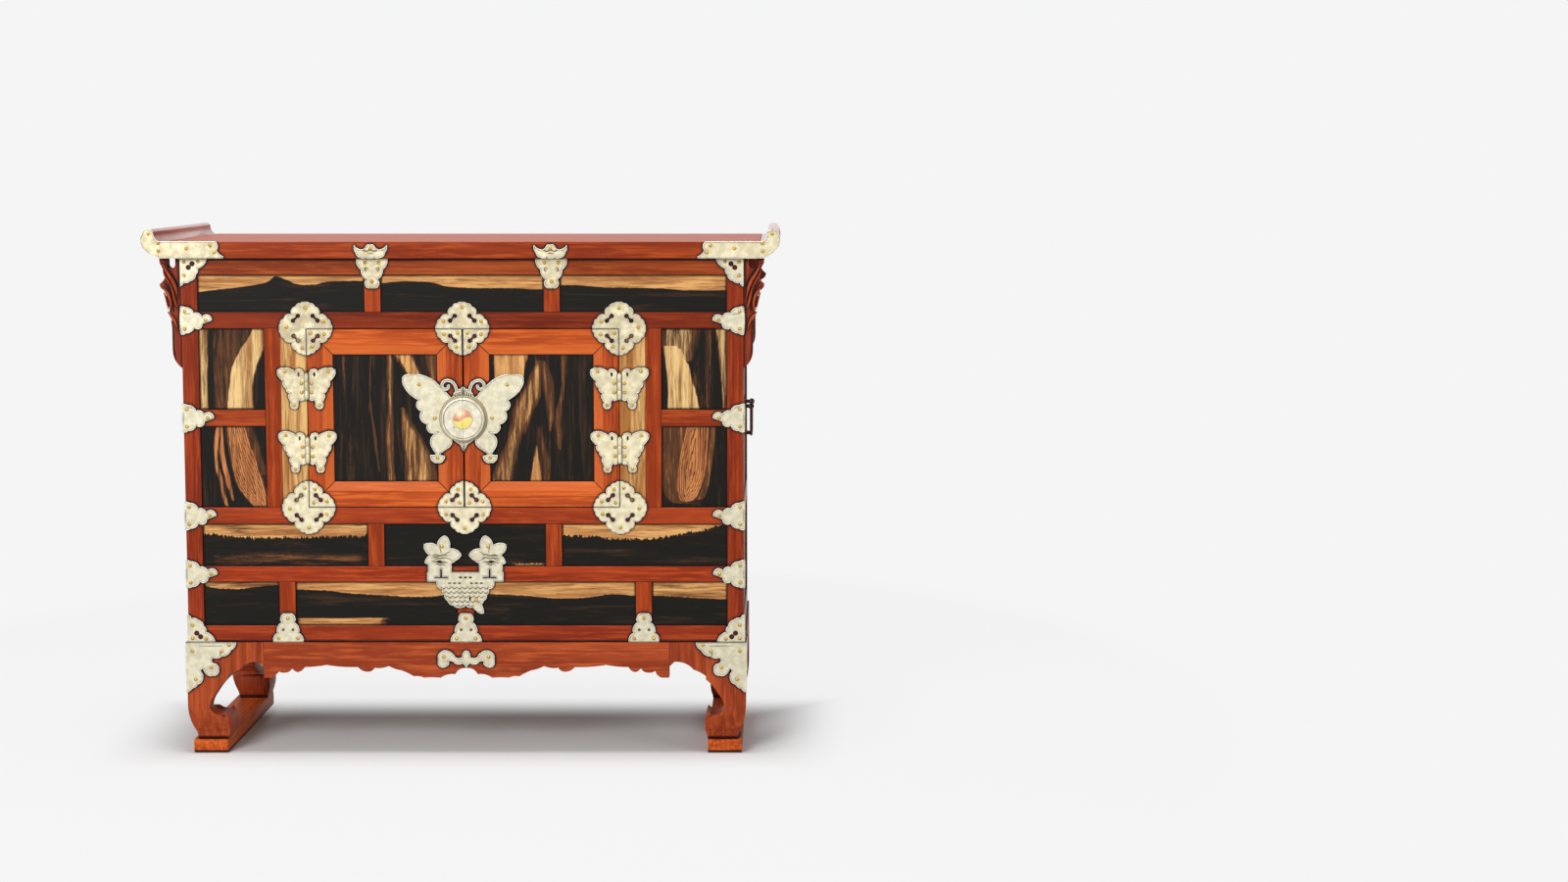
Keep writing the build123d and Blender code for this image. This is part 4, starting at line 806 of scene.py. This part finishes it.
# a border line and a hook on each leg plate, and a short arc on two plates of each post
for way in (-1, 1):
    marks.append(stroke(leg_face, (way * 387, 174.2, 0.2), (way * 400, 174.6, 0.35),
                        (way * 424, 174.4, 0.2)))
    marks.append(stroke(leg_face, (way * 388, 166.0, 0.2), (way * 393, 162.0, 0.5),
                        (way * 389, 158.5, 0.2)))
    for x, z in ((way * 430, 701.0), (way * 432, 553.0)):
        marks.append(stroke(plate_face, (x - 5, z, 0.2), (x, z + 2.5, 0.4), (x + 5, z, 0.2)))

# a pair of round dimples in each base plate
for x in (-282.5, 0.0, 282.5):
    for way in (-1, 1):
        across = x + way * 7.7
        marks.append([(across, -200.3, 200.0, 2.4), (across, -200.62, 200.0, 2.3)])
wires("chased_lines", "carcass", marks, wax)


# ---- large butterfly ------------------------------------------------------------------------
# The butterfly is sawn in two halves, one on each door. Its wings have a broad raised rim, and a
# chased crown stands between the curled feelers.
for hand, way in (("left", -1), ("right", 1)):
    raised_rim(hand + "_butterfly", hand + "_door", nickel_silver, 0.0008)
    lines, ribs = [], []
    for n in range(4):
        x = way * (1.6 + 3.6 * n)
        lines.append(stroke(plate_face, (x * 0.86, 571.5 - 0.3 * n, 0.5),
                            (x + way * 0.6, 576.5 - 0.8 * n, 0.7), (x * 1.08, 581.0 - 1.7 * n, 0.3)))
        ribs.append(stroke(plate_face, (x * 0.9 + way * 1.7, 571.5 - 0.4 * n, 0.6),
                           (x + way * 2.0, 576.0 - 1.1 * n, 0.9),
                           (x * 1.04 + way * 1.5, 580.5 - 2.1 * n, 0.4)))
    wires(hand + "_crown_lines", hand + "_door", lines, wax)
    # the raised ribs take the painted highlight
    wires(hand + "_crown_ribs", hand + "_door", ribs, rim_highlight)


# ---- round lock cover -----------------------------------------------------------------------
# A shallow drum, turned with a thin base and a rounded rim, halved with the doors. Its boss is
# inlaid with copper above and brass below along an S-shaped line; painted shade darkens a ring round it and
# a pin hole low on its left.
boss_radius = 0.0149
base_radius = 0.0345
turning_waves = 2600.0
swirl_waves = 190.0

lock = Finish("lock_cover")
x, _, z = lock.axes()
up = z - (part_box("left_drum")[0].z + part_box("left_drum")[1].z) / 2
out = x.hypot(up)
pin_hole_shade = (x + 0.0139).hypot(up + 0.0123)
haze = lock.noise(lock.place(), 120.0, 4.0, 0.6)
turned = lock.step((out * turning_waves).sine(), -1.0, 1.0)
swirl = up - 0.0035 * (x * swirl_waves).sine()
inlay = lock.mix(lock.step(swirl, -0.0004, 0.0004), tone(250, 232, 124), tone(208, 142, 112))
inlay = lock.mix(lock.step(haze, 0.40, 0.70) * 0.3, inlay, tone(236, 214, 176))
colour = lock.mix(lock.step(haze, 0.35, 0.65), tone(206, 198, 172), tone(230, 224, 204))
colour = lock.mix(lock.step(out, boss_radius + 0.0003, boss_radius - 0.0003), colour, inlay)
# painted shade: a dark ring just outside the boss's raised edge
boss_edge_shade = lock.step(abs(out - (boss_radius + 0.0004)), 0.0005, 0.0001)
colour = lock.mix(boss_edge_shade * 0.5, colour, tone(150, 130, 96))
colour = lock.mix(lock.step(out, base_radius - 0.0002, base_radius + 0.0002), colour, tone(196, 182, 140))
# painted shade: a dark spot for the pin hole
colour = lock.mix(lock.step(pin_hole_shade, 0.0013, 0.0009), colour, tone(70, 56, 26))
# painted shade right beside other pieces
colour = lock.mix(1.0 - contact_shade(lock, 0.002, 0.35), colour, metal_contact_shade)
lock.set(Base_Color=colour, Metallic=0.45, Roughness=0.30 + 0.16 * haze,
         Normal=lock.bump(turned * 0.4 + haze, 0.06, 0.0002))
for hand in ("left", "right"):
    soften(hand + "_drum", 0.0003, 2, lock.material)


# ---- brass nails ----------------------------------------------------------------------------
# Small domed heads of yellow brass, some brighter and some dull brown with tarnish. They keep the
# round shape that they have in the model.
brass = Finish("brass_nail")
tarnish = brass.noise(brass.place(), 500.0, 3.0)
brass.set(Base_Color=brass.mix(brass.step(tarnish, 0.4, 0.7), tone(214, 172, 54), tone(150, 110, 30)),
          Metallic=0.7, Roughness=0.32 + 0.2 * tarnish)
for node in ("frame_nails", "left_door_nails", "right_door_nails"):
    nodes[node].data.materials.clear()
    nodes[node].data.materials.append(brass.material)


# ---- side handles ---------------------------------------------------------------------------
# A bronze bail, dark with handling, hangs from two eyes on each side. The metal shows redder where
# it is rubbed.
bronze = Finish("dark_bronze")
worn = bronze.noise(bronze.place(), 160.0, 4.0)
bronze.set(Base_Color=bronze.mix(bronze.step(worn, 0.45, 0.75), tone(54, 34, 28), tone(112, 66, 46)),
           Metallic=0.85, Roughness=0.36 + 0.2 * worn, Normal=bronze.bump(worn, 0.1, 0.0005))
for node in ("left_handle", "right_handle", "handle_mounts"):
    soften(node, 0.0003, 1, bronze.material)


# ---- carved wings ---------------------------------------------------------------------------
# Thin brackets below the overhanging top, carved in front with curling tongues of flame, whose
# crests are painted a brighter red as a painted highlight and whose cut lines are dark painted shade.
soften("wing_brackets", 0.0015, 3, red_timber("red_wings", "z", tone(142, 54, 30), 41.0))
# painted highlight on the carved crests, painted shade in the cut lines
crest_highlight = red_timber("carved_crests_highlight", "z", tone(178, 74, 38), 43.0)
hollow_shade = red_timber("carved_hollows_shade", "z", tone(74, 24, 14), 44.0)
carved_tongues = [
    [(468.5, 781, 1.2), (461.5, 765, 3.2), (453, 753.5, 3.7), (448, 739, 3.2), (445.8, 725, 1.0)],
    [(470, 744, 0.8), (464, 738.5, 2.8), (458.5, 728, 3.5), (456, 716, 3.0), (459, 704, 0.8)],
    [(457, 749, 1.0), (452.5, 735, 3.0), (451.5, 722, 3.2), (446, 709, 1.0)],
    [(462, 713, 1.0), (463.5, 726, 2.4), (467.5, 735, 0.8)],
    [(462, 705, 0.8), (456, 698, 3.0), (450, 688, 2.6), (447, 675, 0.8)],
    [(468, 770, 0.6), (466, 762, 2.2), (459, 752, 2.4), (456, 744, 0.8)]]
# the cut lines are dark painted shade in the grooves between the tongues
groove_shade_lines = [
    [(464, 784, 0.5), (457, 766, 1.2), (449, 756, 1.3), (444.5, 744, 0.6)],
    [(468, 752, 0.5), (460, 744, 1.3), (455, 731, 1.4), (454, 716, 1.0), (452, 704, 0.5)],
    [(463, 724, 0.4), (460.5, 714, 1.0), (462, 708, 0.4)],
    [(457, 692, 0.5), (454, 676, 0.9), (455, 650, 0.9), (451, 628, 0.5)]]
for name, group, material in (("carved_tongues", carved_tongues, crest_highlight),
                              ("groove_shade_lines", groove_shade_lines, hollow_shade)):
    both = [stroke(wing_face, *((way * x, z, radius) for x, z, radius in line))
            for way in (-1, 1) for line in group]
    wires(name, "carcass", both, material)
